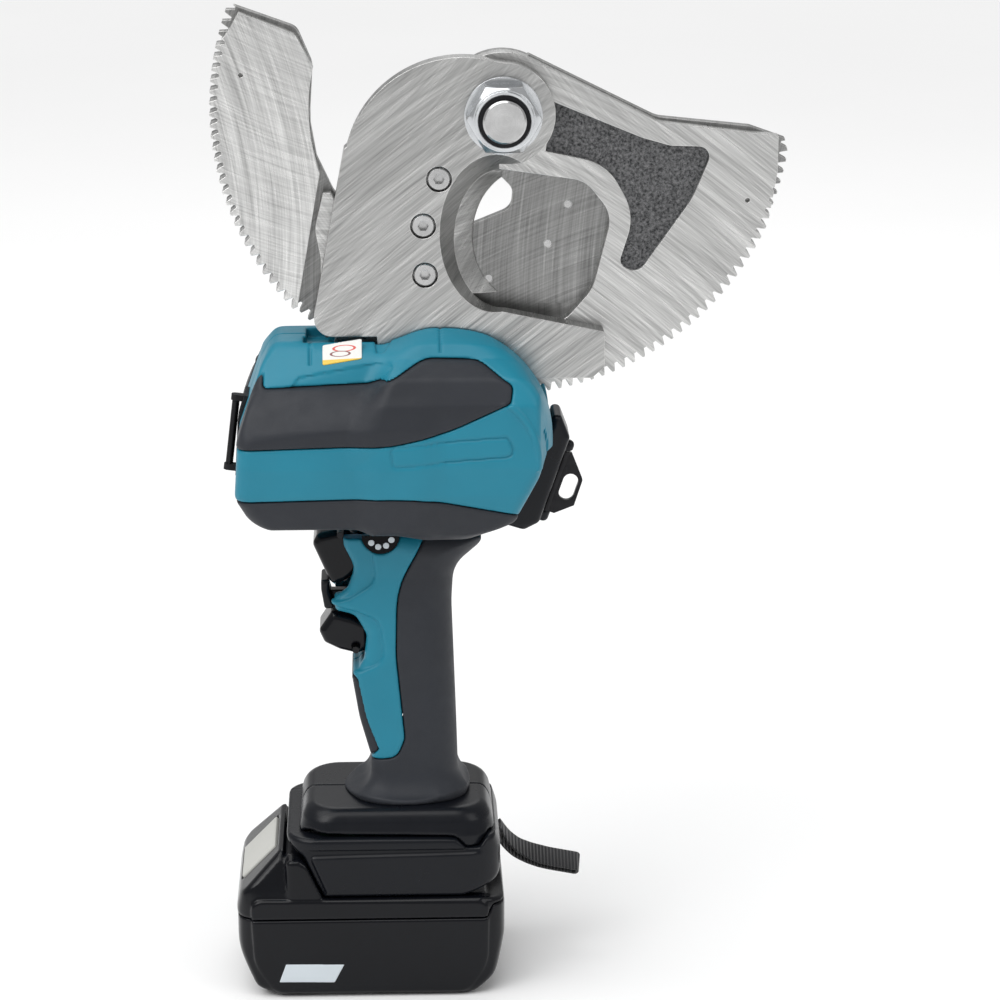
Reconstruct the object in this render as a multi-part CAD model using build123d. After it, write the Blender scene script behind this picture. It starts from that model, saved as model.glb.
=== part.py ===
from build123d import *
import os
from math import acos, atan2, cos, degrees, floor, hypot, pi, radians, sin, sqrt, tan

# Battery-powered rescue cutter, millimetres.
# +X towards the free side of the blades, +Y away from the name-pad side, +Z up.
# Origin: centre of the battery's bottom face, on which the tool stands.
# Outlines are drawn in (X, Z); blade outlines are relative to the pivot.

# ---- blades
PIVOT = (58.0, 383.5)
GEAR_MODULE = 1.5
BLADE_TEETH = 160                 # teeth of the full circle that the blade is part of
TOOTH_PHASE = 0.4                 # angle of one tooth's centre, degrees
BACKLASH = 0.16
FIXED_Y = (-14.0, -5.0)           # fixed plate
FRONT_Y = (-4.7, 2.3)             # layer of the moving front plate, tip plate and fixed insert
CUT_Y = (2.3, 7.3)                # moving cutting plate
INSERT_BACK_Y = 2.0
PAD_Y = (7.3, 9.3)                # wear pad on the back of the cutting plate
BOLT_R = 9.0
BUSH_R = 12.0
HUB_R = 24.6
RUN_FIT = 0.05                    # radial clearance of a shaft in its bore
INSERT_R = (25.3, 78.3)
TIP_PLATE_R = 79.6
POCKET_DEPTH = 1.8

# ---- drive train
PINION_TEETH = 20
DRIVE_MODULE = 0.8
DRIVE_GEAR_TEETH = 54
LAY_PINION_TEETH = 18
MOTOR_MODULE = 0.5
LAY_GEAR_TEETH = 85
MOTOR_PINION_TEETH = 17
PINION_TOOTH = 115                # index of the blade tooth on the line to the drive pinion
LAY_DIRECTION = 200.0             # from the drive pinion to the layshaft, degrees
MOTOR_DIRECTION = 184.0           # from the layshaft to the motor, degrees
DRIVE_GEAR_Y = (14.0, 23.0)
LAY_GEAR_Y = (24.5, 30.5)
FRAME_Y = (9.9, 12.9)
BACK_FRAME_Y = (33.0, 36.0)
MOTOR_R = 19.0
MOTOR_Y = (-36.0, 9.6)

# ---- housing
HALF_DEPTH = 47.5
WALL = 3.6
SKIN = 1.8
DOME = (30.0, 246.5)
DOME_R = 49.0
DISC_CLEAR_R = 123.6
SLOT_Y = (-14.6, 9.7)
LABEL_X = -9.6
LABEL_SIZE = (16.5, 10.5)

# ---- handle, foot and battery
GRIP_HALF = 19.0
HANDLE_TOP = 204.4
DISC_SPOT = (5.6, 204.5)
DISC_R = 8.0
TRIGGER_HALF = 11.0
FOOT_TOP = 84.0
FOOT_SPLIT = 72.5
FOOT_BOTTOM = 45.6
BATTERY = (118.0, 75.0)
BATTERY_SEAM = 37.0
CASE_WALL = 2.2
CELL_R = 9.0
CELL_LENGTH = 65.0
CELL_PITCH = 18.6

os.makedirs("parts", exist_ok=True)


# ---------------------------------------------------------------- helpers
def across(face, low, high):
    """Solid of an (X, Z) outline between two Y planes."""
    return extrude(Plane.XZ.offset(-high) * face, amount=high - low)


def along_x(face, low, high):
    """Solid of a (Y, Z) outline between two X planes."""
    return extrude(Plane.YZ.offset(low) * face, amount=high - low)


def outline(corners):
    """Face from (x, z) or (x, z, corner radius) corners, straight between them."""
    count = len(corners)
    starts, ends, mids = [], [], []
    for i, corner in enumerate(corners):
        point = Vector(corner[0], corner[1])
        radius = corner[2] if len(corner) > 2 else 0.0
        before = Vector(*corners[i - 1][:2]) - point
        after = Vector(*corners[(i + 1) % count][:2]) - point
        if radius <= 0.0:
            starts.append(point)
            ends.append(point)
            mids.append(None)
            continue
        u, v = before.normalized(), after.normalized()
        half = radians(u.get_angle(v)) / 2
        reach = radius / tan(half)
        bisector = (u + v).normalized()
        centre = point + bisector * (radius / sin(half))
        starts.append(point + u * reach)
        ends.append(point + v * reach)
        mids.append(centre - bisector * radius)
    edges = []
    for i in range(count):
        if mids[i] is not None:
            edges.append(ThreePointArc(starts[i], mids[i], ends[i]))
        if (starts[(i + 1) % count] - ends[i]).length > 1e-6:
            edges.append(Line(ends[i], starts[(i + 1) % count]))
    return make_face(Wire(edges))


def at(corners, origin):
    """Corners moved by an origin."""
    return [(c[0] + origin[0], c[1] + origin[1]) + tuple(c[2:]) for c in corners]


def disc(centre, radius):
    return Pos(centre[0], centre[1]) * Circle(radius)


def box(x, y, z):
    """Box from (low, high) pairs."""
    return Pos(sum(x) / 2, sum(y) / 2, sum(z) / 2) * Box(x[1] - x[0], y[1] - y[0], z[1] - z[0])


def rod(centre, radius, low, high):
    """Cylinder along Y."""
    return across(disc(centre, radius), low, high)


def rod_ring(centre, inner, outer, low, high):
    return across(disc(centre, outer) - disc(centre, inner), low, high)


def polar(radius, angle, origin=(0.0, 0.0)):
    return (origin[0] + radius * cos(radians(angle)), origin[1] + radius * sin(radians(angle)))


def hexagon(centre, flats):
    return Pos(centre[0], centre[1]) * RegularPolygon(flats / 2, 6, major_radius=False)


def mirrored(solid):
    return mirror(solid, about=Plane.XZ)


def save(name, *solids):
    pieces = []
    for solid in solids:
        pieces += list(solid.solids())
    shape = pieces[0] if len(pieces) == 1 else Compound(children=pieces)
    shape.label = name
    export_step(shape, "parts/" + name + ".step")


# ---------------------------------------------------------------- gears
def involute(angle):
    return tan(angle) - angle


def gear_face(centre, module, teeth, phase, backlash=BACKLASH):
    """Full-depth 20 degree spur gear outline, with a tooth centred at phase degrees."""
    pitch = module * teeth / 2
    base = pitch * cos(radians(20))
    root, tip = pitch - 1.25 * module, pitch + module
    flank = [root, max(base, root) + 0.02 * module, pitch, (pitch + tip) / 2, tip]
    half = pi / (2 * teeth) - backlash / (2 * pitch) + involute(radians(20))
    points = []
    for k in range(teeth):
        middle = radians(phase) + 2 * pi * k / teeth
        spread = [half - involute(acos(min(1.0, base / r))) for r in flank]
        side = [(r, middle - s) for r, s in zip(flank, spread)]
        side += [(r, middle + s) for r, s in zip(reversed(flank), reversed(spread))]
        points += [(centre[0] + r * cos(a), centre[1] + r * sin(a)) for r, a in side]
    return make_face(Polyline(*points, close=True))


def meshed_phase(phase, teeth, direction, other_teeth):
    """Phase of a gear that meshes with a gear of the given phase, in the given direction."""
    pitch = 360.0 / teeth
    fraction = (direction - phase) / pitch
    fraction -= floor(fraction)
    return direction + 180.0 + (fraction + 0.5) * 360.0 / other_teeth


PINION_DIRECTION = TOOTH_PHASE + PINION_TOOTH * 360.0 / BLADE_TEETH
DRIVE_AXIS = polar(GEAR_MODULE * (BLADE_TEETH + PINION_TEETH) / 2, PINION_DIRECTION, PIVOT)
LAY_AXIS = polar(DRIVE_MODULE * (DRIVE_GEAR_TEETH + LAY_PINION_TEETH) / 2, LAY_DIRECTION, DRIVE_AXIS)
MOTOR_AXIS = polar(MOTOR_MODULE * (LAY_GEAR_TEETH + MOTOR_PINION_TEETH) / 2, MOTOR_DIRECTION, LAY_AXIS)
PINION_PHASE = meshed_phase(TOOTH_PHASE, BLADE_TEETH, PINION_DIRECTION, PINION_TEETH)
DRIVE_GEAR_PHASE = 0.0
LAY_PINION_PHASE = meshed_phase(DRIVE_GEAR_PHASE, DRIVE_GEAR_TEETH, LAY_DIRECTION, LAY_PINION_TEETH)
LAY_GEAR_PHASE = 0.0
MOTOR_PINION_PHASE = meshed_phase(LAY_GEAR_PHASE, LAY_GEAR_TEETH, MOTOR_DIRECTION, MOTOR_PINION_TEETH)
SHAFT_R = {"drive": 7.0, "lay": 4.0, "motor": 2.5}
BEARING_R = {"drive": 13.0, "lay": 9.5, "motor": 7.0}


# ---------------------------------------------------------------- blades
def ellipse_at(x, z, half_x, half_z):
    return Pos(PIVOT[0] + x, PIVOT[1] + z) * Ellipse(half_x, half_z)


THROAT_FRONT = (-3.0, -50.0, 23.6, 33.5)      # bevel's rim on the fixed plate's front face
THROAT_BACK = (0.0, -54.0, 20.4, 29.5)        # on the fixed plate's back face
THROAT_EDGE = (12.0, -54.3, 24.4, 29.0)       # cutting edge of the insert
SCREW_SPOTS = [(-26.7, -26.8), (-33.4, -46.5), (-32.7, -67.4)]
SCREW_HEAD_R = 4.9
RIVET_SPOTS = [(27.7, -41.0), (19.3, -57.8), (-5.6, -72.6)]
HIDDEN_RIVETS = [(-50.0, -82.0), (0.0, -100.0), (70.0, -72.0), (100.0, -30.0), (-100.0, 0.0)]
RIVET_R = 1.7


def throat_cone(front, back, front_y, back_y):
    """Bevelled opening between two ellipses on two Y planes."""
    rims = [Plane.XZ.offset(-front_y) * ellipse_at(*front), Plane.XZ.offset(-back_y) * ellipse_at(*back)]
    return loft(rims)


def fixed_plate_face():
    """Fixed plate: wide foot at lower left, hub at the top, finger under the throat."""
    body = outline(at([(-66.0, -14.0), (-81.0, -93.6, 8), (-53.0, -93.6), (-53.0, -157.5, 5),
                       (-3.0, -157.5, 5), (-3.0, -112.2), (37.5, -112.2, 3), (42.8, -107.5, 3),
                       (42.6, -92.2, 1.2), (0.0, -83.3), (-2.0, 0.0), (-17.0, 23.9), (-40.0, 10.0)], PIVOT))
    shoulder = disc((PIVOT[0] - 17.0, PIVOT[1] - 25.3), 49.3)
    left_of_throat = outline(at([(-70.0, 30.0), (-2.0, 30.0), (-2.0, -60.0), (-70.0, -60.0)], PIVOT))
    hub = disc(PIVOT, 21.6) + outline(at([(-17.0, 24.0), (1.5, 21.5), (0.0, 0.0), (-17.0, 0.0)], PIVOT))
    face = body + (shoulder & left_of_throat) + hub
    return face


def insert_face():
    """Crescent insert between the hub and the ring of the moving plate."""
    ring = disc(PIVOT, INSERT_R[1]) - disc(PIVOT, INSERT_R[0])
    area = outline(at([(-24.0, -18.0, 3), (-38.0, -24.0, 8), (-43.5, -50.0, 20), (-41.0, -90.0), (0.0, -90.0),
                       (0.0, -20.0)], PIVOT))
    return ring & area


def front_plate_face():
    """Moving front plate: hub, arm, window edge and toothed ring, before the teeth are cut."""
    ring_r = TIP_PLATE_R
    arm = outline(at([(10.6, 22.2), (65.0, -5.0, 12), (115.2, -11.3), (115.2, -26.0), (108.0, -70.0),
                      (80.0, -110.0), (30.0, -130.0), (-30.0, -130.0), (-77.0, -97.0), (-76.2, -61.8, 10),
                      (-78.6, -49.0, 14), (-74.9, -33.9)] + [polar(ring_r, 205.5)]
                     + [polar(ring_r, a) for a in (213, 221, 229, 237, 245, 253)]
                     + [(-6.0, -88.0, 12), (25.0, -91.0, 12), (38.0, -76.0, 20), (46.0, -44.0, 13),
                        (34.5, -29.6, 13), (0.0, -24.5), (-10.0, 0.0)], PIVOT))
    return arm + disc(PIVOT, HUB_R)


def tip_plate_face():
    """Tip plate at the free end of the moving blade."""
    area = outline(at([(-108.8, 41.3), (-85.6, 32.4, 4), (-80.2, 22.0, 12), (-78.0, 17.5), (-76.0, -24.8),
                       (-87.6, -90.0), (-125.0, -90.0), (-125.0, 20.0), (-113.2, 33.5)], PIVOT))
    return area - disc(PIVOT, 80.5)


def cutting_plate_face():
    """Moving cutting plate: a sickle whose inner edge does the cutting."""
    sickle = outline(at([(10.9, 22.6), (64.5, -4.0, 12), (103.8, -8.2), (118.6, -13.5), (130.0, -60.0),
                         (90.0, -120.0), (0.0, -140.0), (-90.0, -120.0), (-140.0, -30.0), (-122.0, 46.0),
                         (-112.0, 43.9), (-85.0, 34.2, 6), (-78.6, 19.0, 8), (-79.8, 0.0), (-79.8, -6.0),
                         (-77.4, -20.0), (-70.6, -34.6, 6), (-56.0, -50.0, 16), (-34.0, -54.5, 30),
                         (-12.0, -49.0, 30), (3.9, -42.5, 6), (4.6, -34.0, 6), (-1.0, -28.3),
                         (-14.0, -22.0), (-10.0, 0.0)], PIVOT))
    return sickle + disc(PIVOT, HUB_R)


def pocket_face():
    """Sunk panel on the arm of the front plate."""
    return outline(at([(20.0, 4.2), (58.0, -11.5, 30), (70.0, -15.0, 12), (88.5, -15.6, 4.5),
                       (79.5, -37.5, 40), (57.0, -69.5, 5), (48.8, -65.5, 4), (55.5, -44.0, 22),
                       (43.5, -22.5, 22), (18.0, -17.0)], PIVOT))


def make_blades():
    toothed = gear_face(PIVOT, GEAR_MODULE, BLADE_TEETH, TOOTH_PHASE)
    toothed_ring = {layer: across(toothed, *layer) for layer in (FRONT_Y, CUT_Y)}
    bush_hole = {layer: rod(PIVOT, BUSH_R, *layer) for layer in (FRONT_Y, CUT_Y, PAD_Y)}
    pivot_hole = rod(PIVOT, BOLT_R, FIXED_Y[0] - 1, FIXED_Y[1] + 1)

    fixed = across(fixed_plate_face(), *FIXED_Y)
    fixed -= throat_cone(THROAT_FRONT, THROAT_BACK, *FIXED_Y)
    fixed -= pivot_hole
    insert = across(insert_face(), FIXED_Y[1], INSERT_BACK_Y)
    insert -= throat_cone(THROAT_BACK, THROAT_EDGE, FIXED_Y[1], INSERT_BACK_Y)
    screws = []
    for spot in at(SCREW_SPOTS, PIVOT):
        head = rod(spot, SCREW_HEAD_R, FIXED_Y[0] + 0.4, FIXED_Y[0] + 5.4)
        socket = across(hexagon(spot, 4.0), FIXED_Y[0] + 0.4, FIXED_Y[0] + 3.4)
        shank = rod(spot, 3.0, FIXED_Y[0] + 5.4, INSERT_BACK_Y - 1.0)
        screws.append(chamfer(head.edges().group_by(Axis.Y)[0], 0.6) + shank - socket)
        fixed -= rod(spot, SCREW_HEAD_R + 0.5, FIXED_Y[0] - 1, FIXED_Y[0] + 5.4)
        fixed -= rod(spot, 3.0, FIXED_Y[0], FIXED_Y[1] + 1)
        insert -= rod(spot, 3.0, FIXED_Y[1] - 1, INSERT_BACK_Y - 1.0)
    fixed -= rod(DRIVE_AXIS, BEARING_R["drive"], FIXED_Y[0] + 2.0, FIXED_Y[1] + 1)
    for spot in at(FRAME_BOLTS, PIVOT):
        fixed -= rod(spot, 2.5, FIXED_Y[0] - 1, FIXED_Y[1] + 1)
    save("fixed_blade_plate", fixed)
    save("fixed_blade_insert", insert)
    save("insert_screws", *screws)

    front = (across(front_plate_face(), *FRONT_Y) & toothed_ring[FRONT_Y]) - bush_hole[FRONT_Y]
    front -= across(pocket_face(), FRONT_Y[0] - 1, FRONT_Y[0] + POCKET_DEPTH)
    tip = across(tip_plate_face(), *FRONT_Y) & toothed_ring[FRONT_Y]
    cutting = (across(cutting_plate_face(), *CUT_Y) & toothed_ring[CUT_Y]) - bush_hole[CUT_Y]
    small_holes = [rod(spot, 1.0, FRONT_Y[0] - 1, FRONT_Y[0] + 4) for spot in
                   at([(102.7, -38.4), (-108.2, 15.6)], PIVOT)]
    front -= small_holes[0]
    tip -= small_holes[1]
    rivets = []
    for spot in at(RIVET_SPOTS, PIVOT):
        cutting -= rod(spot, RIVET_R, CUT_Y[0] - 1, CUT_Y[1] + 1)
        rivets.append(rod(spot, RIVET_R, CUT_Y[0] + 0.2, PAD_Y[1]))
    for spot in at(HIDDEN_RIVETS, PIVOT):
        hole = rod(spot, RIVET_R, FRONT_Y[0] + 2, CUT_Y[1] + 1)
        front -= hole
        tip -= hole
        cutting -= hole
        rivets.append(rod(spot, RIVET_R, FRONT_Y[0] + 2, CUT_Y[1]))
    pad = outline(at([(34.0, -40.0, 5), (24.0, -64.0, 8), (-4.0, -79.5, 5), (-12.0, -70.0, 5), (12.0, -52.0, 8),
                      (24.0, -33.0, 5)], PIVOT))
    pad = across(pad, *PAD_Y)
    for spot in at(RIVET_SPOTS, PIVOT):
        pad -= rod(spot, RIVET_R, PAD_Y[0] - 1, PAD_Y[1] + 1)
    save("blade_front_plate", front)
    save("blade_tip_plate", tip)
    save("blade_cutting_plate", cutting)
    save("blade_rivets", *rivets)
    save("blade_wear_pad", pad)
    save("blade_bushing", rod_ring(PIVOT, BOLT_R + RUN_FIT, BUSH_R, FRONT_Y[0], CUT_Y[1]))


WASHER_T = 2.0
NUT_Y = (-28.0, -16.0)
BOLT_END_Y = -32.0
REAR_WASHER_Y = (7.6, 9.6)
BOLT_HEAD_Y = (9.6, 18.6)


def make_pivot_bolt():
    shank = rod(PIVOT, BOLT_R, BOLT_END_Y, BOLT_HEAD_Y[0])
    shank = chamfer(shank.edges().group_by(Axis.Y)[0], 0.8)
    head = across(hexagon(PIVOT, 27.0), *BOLT_HEAD_Y)
    cone = Solid.make_cone(16.0, 13.2, 3.2, Plane(origin=(PIVOT[0], BOLT_HEAD_Y[1] - 3.2, PIVOT[1]),
                                                  z_dir=(0, 1, 0)))
    blank = rod(PIVOT, 16.0, BOLT_HEAD_Y[0], BOLT_HEAD_Y[1] - 3.2) + cone
    save("pivot_bolt", shank + (head & blank))

    nut = across(hexagon(PIVOT, 27.0), *NUT_Y)
    cone = Solid.make_cone(16.2, 12.8, 3.6, Plane(origin=(PIVOT[0], NUT_Y[0] + 3.6, PIVOT[1]),
                                                  z_dir=(0, -1, 0)))
    nut &= rod(PIVOT, 16.2, NUT_Y[0] + 3.6, NUT_Y[1]) + cone
    nut += rod(PIVOT, 12.2, NUT_Y[0] - 1.2, NUT_Y[0] + 1.0)
    nut -= rod(PIVOT, BOLT_R, NUT_Y[0] - 3, NUT_Y[1] + 1)
    nut -= rod(PIVOT, 10.9, NUT_Y[0] - 3, NUT_Y[0])
    save("pivot_nut", nut)
    front = rod_ring(PIVOT, BOLT_R, 16.2, NUT_Y[1], NUT_Y[1] + WASHER_T)
    rear = rod_ring(PIVOT, BOLT_R, 16.2, *REAR_WASHER_Y)
    save("pivot_washers", front, rear)
    ring = rod_ring(PIVOT, BOLT_R, 10.7, NUT_Y[0] - 0.2, NUT_Y[0] - 1.6)
    save("retaining_ring", ring)


# ---------------------------------------------------------------- drive train
FRAME_BOLTS = [(-46.5, -150.0), (-9.5, -150.0)]     # relative to the pivot
BACK_BOLTS = [(45.0, 225.0), (-16.0, 261.0), (56.3, 263.3), (-35.0, 256.0)]


def frame_outline():
    return outline([(-38.0, 224.0, 6), (-26.0, 219.5, 4), (49.5, 219.5, 8), (60.5, 238.0, 8), (60.5, 268.0, 6),
                    (14.0, 268.0, 6), (8.0, 265.5, 4), (-24.0, 265.5, 6), (-40.0, 262.0, 4)])


def make_frame():
    """Two plates that carry the bearings behind the blade, with their spacers and bolts."""
    middle = across(frame_outline(), *FRAME_Y)
    back = across(frame_outline(), *BACK_FRAME_Y)
    middle -= rod(DRIVE_AXIS, BEARING_R["drive"], FRAME_Y[0] - 1, FRAME_Y[1] + 1)
    middle -= rod(LAY_AXIS, SHAFT_R["lay"] + 1.0, FRAME_Y[0] - 1, FRAME_Y[1] + 1)
    middle -= rod(MOTOR_AXIS, SHAFT_R["motor"] + 1.5, FRAME_Y[0] - 1, FRAME_Y[1] + 1)
    back -= rod(DRIVE_AXIS, BEARING_R["drive"], BACK_FRAME_Y[0] - 1, BACK_FRAME_Y[1] + 1)
    back -= rod(LAY_AXIS, BEARING_R["lay"], BACK_FRAME_Y[0] - 1, BACK_FRAME_Y[1] + 1)
    back -= rod(MOTOR_AXIS, BEARING_R["motor"], BACK_FRAME_Y[0] - 1, BACK_FRAME_Y[1] + 1)
    bolts = []
    for spot in BACK_BOLTS:
        hole = rod(spot, 2.0, FRAME_Y[0] - 1, BACK_FRAME_Y[1] + 1)
        middle -= hole
        back -= hole
        bolts.append(rod(spot, 2.0, FRAME_Y[0], BACK_FRAME_Y[1]) + rod(spot, 3.6, BACK_FRAME_Y[1],
                                                                      BACK_FRAME_Y[1] + 2.4)
                     + rod(spot, 3.6, FRAME_Y[1], BACK_FRAME_Y[0]))
    for spot in at(FRAME_BOLTS, PIVOT):
        middle -= rod(spot, 2.5, FRAME_Y[0] - 1, FRAME_Y[1] + 1)
        shank = rod(spot, 2.5, FIXED_Y[0], FRAME_Y[1]) + rod(spot, 4.2, FIXED_Y[0] - 3.0, FIXED_Y[0])
        bolts.append(shank + rod(spot, 4.2, FIXED_Y[1], FRAME_Y[0]))
    save("frame_plates", middle, back)
    save("frame_bolts", *bolts)


def make_drive():
    pinion = across(gear_face(DRIVE_AXIS, GEAR_MODULE, PINION_TEETH, PINION_PHASE), FRONT_Y[0], CUT_Y[1])
    shaft = rod(DRIVE_AXIS, SHAFT_R["drive"], FIXED_Y[0] + 3.0, BACK_FRAME_Y[1])
    save("drive_pinion", pinion + shaft)
    gear = across(gear_face(DRIVE_AXIS, DRIVE_MODULE, DRIVE_GEAR_TEETH, DRIVE_GEAR_PHASE), *DRIVE_GEAR_Y)
    web = rod_ring(DRIVE_AXIS, 11.0, 17.5, DRIVE_GEAR_Y[0] - 1, DRIVE_GEAR_Y[0] + 3)
    save("drive_gear", gear - rod(DRIVE_AXIS, SHAFT_R["drive"], 0, 40) - web)

    shaft = rod(LAY_AXIS, SHAFT_R["lay"], FRAME_Y[1] + 0.4, BACK_FRAME_Y[1])
    small = across(gear_face(LAY_AXIS, DRIVE_MODULE, LAY_PINION_TEETH, LAY_PINION_PHASE), *DRIVE_GEAR_Y)
    large = across(gear_face(LAY_AXIS, MOTOR_MODULE, LAY_GEAR_TEETH, LAY_GEAR_PHASE, 0.1), *LAY_GEAR_Y)
    save("layshaft", shaft + small + large)

    can = rod_ring(MOTOR_AXIS, MOTOR_R - 2.0, MOTOR_R, *MOTOR_Y)
    front_end = rod_ring(MOTOR_AXIS, BEARING_R["motor"], MOTOR_R - 2.0, MOTOR_Y[0], MOTOR_Y[0] + 2.5)
    back_end = rod_ring(MOTOR_AXIS, BEARING_R["motor"], MOTOR_R - 2.0, MOTOR_Y[1] - 2.5, MOTOR_Y[1])
    save("motor_can", can + front_end + back_end)
    shaft = rod(MOTOR_AXIS, SHAFT_R["motor"], MOTOR_Y[0], BACK_FRAME_Y[1])
    core = rod(MOTOR_AXIS, MOTOR_R - 5.0, MOTOR_Y[0] + 12.0, MOTOR_Y[1] - 6.0)
    small = across(gear_face(MOTOR_AXIS, MOTOR_MODULE, MOTOR_PINION_TEETH, MOTOR_PINION_PHASE, 0.1), *LAY_GEAR_Y)
    save("rotor", shaft + core + small)
    fan = rod_ring(MOTOR_AXIS, SHAFT_R["motor"], 5.0, MOTOR_Y[0] + 4.0, MOTOR_Y[0] + 10.0)
    blade = box((4.0, 15.0), (MOTOR_Y[0] + 4.0, MOTOR_Y[0] + 10.0), (-0.6, 0.6))
    for k in range(9):
        fan += Pos(MOTOR_AXIS[0], 0, MOTOR_AXIS[1]) * (Rot(0, 40.0 * k, 0) * blade)
    save("fan", fan)

    bearings = [rod_ring(DRIVE_AXIS, SHAFT_R["drive"] + RUN_FIT, BEARING_R["drive"], *FRAME_Y),
                rod_ring(DRIVE_AXIS, SHAFT_R["drive"] + RUN_FIT, BEARING_R["drive"], *BACK_FRAME_Y),
                rod_ring(DRIVE_AXIS, SHAFT_R["drive"] + RUN_FIT, BEARING_R["drive"], FIXED_Y[0] + 3.0, FIXED_Y[1]),
                rod_ring(LAY_AXIS, SHAFT_R["lay"] + RUN_FIT, BEARING_R["lay"], *BACK_FRAME_Y),
                rod_ring(MOTOR_AXIS, SHAFT_R["motor"] + RUN_FIT, BEARING_R["motor"], *BACK_FRAME_Y),
                rod_ring(MOTOR_AXIS, SHAFT_R["motor"] + RUN_FIT, BEARING_R["motor"], MOTOR_Y[0], MOTOR_Y[0] + 2.5),
                rod_ring(MOTOR_AXIS, SHAFT_R["motor"] + RUN_FIT, BEARING_R["motor"], MOTOR_Y[1] - 2.5, MOTOR_Y[1])]
    save("bearings", *bearings)


# ---------------------------------------------------------------- housing
LEFT_SECTION = [(0, 290.0), (14.0, 290.0, 2), (26.0, 284.0, 1), (31.0, 272.5, 1), (44.0, 267.0, 2), (HALF_DEPTH, 258.0, 2),
                (HALF_DEPTH, 229.0, 6), (42.0, 214.0, 5), (32.0, 209.5, 5), (0, 209.5)]
DOME_SECTION = [(0, 297.0), (12.0, 297.0, 2), (27.0, 289.5, 1), (31.0, 284.5, 1), (43.0, 278.5, 2), (HALF_DEPTH, 268.0, 2),
                (HALF_DEPTH, 229.0, 6), (42.0, 212.0, 5), (32.0, 204.5, 5), (0, 204.5)]
SIDE = [(-38.0, 290.0, 6), (12.0, 290.5, 0), (30.0, 295.5, 0), (79.0, 258.0, 0), (78.6, 250.0, 3), (62.0, 216.0, 6),
        (42.0, 205.0, 12), (24.0, 204.6, 10), (12.0, 210.0, 10), (-42.0, 209.8, 6), (-50.0, 219.0, 5),
        (-55.0, 228.0, 5), (-53.4, 252.0, 6), (-44.0, 279.0, 6)]


def both_sides(section):
    """Closed (Y, Z) outline from its +Y half."""
    return outline(section[1:-1] + [(-c[0],) + tuple(c[1:]) for c in reversed(section[1:-1])])


def body_block(inset):
    """Outer body of the housing, shrunk by an inset."""
    side = outline(SIDE) + (disc(DOME, DOME_R) & outline([(-25, 258), (90, 258), (90, 300), (-25, 300)]))
    left_end, right_end = both_sides(LEFT_SECTION), both_sides(DOME_SECTION)
    if inset:
        side = offset(side, amount=-inset)
        left_end = offset(left_end, amount=-inset)
        right_end = offset(right_end, amount=-inset)
    return across(side, -60, 60) & (along_x(left_end, -70, 16) + along_x(right_end, 8, 90))


UPPER_BUMPER = [(-60.0, 249.5), (10.0, 251.5), (34.0, 257.0, 20), (60.0, 269.0, 2), (61.0, 275.6, 3), (47.0, 283.9, 12),
                (25.0, 284.6, 12), (9.0, 277.0, 8), (1.0, 273.6, 8), (-42.0, 272.0), (-60.0, 276.0)]
LOWER_BUMPER = [(-60.0, 226.6), (20.0, 228.4, 90), (61.0, 220.2), (72.0, 214.0), (72.0, 200.0), (-60.0, 200.0)]
BOSSES = [(-45.0, 266.0), (-45.0, 226.0), (-8.0, 214.5), (58.5, 222.0), (70.0, 250.0)]
BOSS_R = 4.0
SCREW_R = 1.8


def blade_slot():
    """Room for the fixed plate and for the sweep of the moving blade."""
    plate = outline(at([(-84.0, -150.0), (-84.0, 20.0), (60.0, 20.0), (60.0, -106.0), (2.0, -106.0),
                        (2.0, -150.0)], PIVOT))
    sweep = rod(PIVOT, DISC_CLEAR_R, FIXED_Y[1] - 0.2, SLOT_Y[1])
    right = outline([(50.0, 255.0), (90.0, 255.0), (90.0, 320.0), (-24.0, 320.0), (-24.0, 284.0), (50.0, 284.0)])
    return across(plate, SLOT_Y[0], FIXED_Y[1] + 0.2) + sweep + across(right, SLOT_Y[0], SLOT_Y[1])


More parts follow.
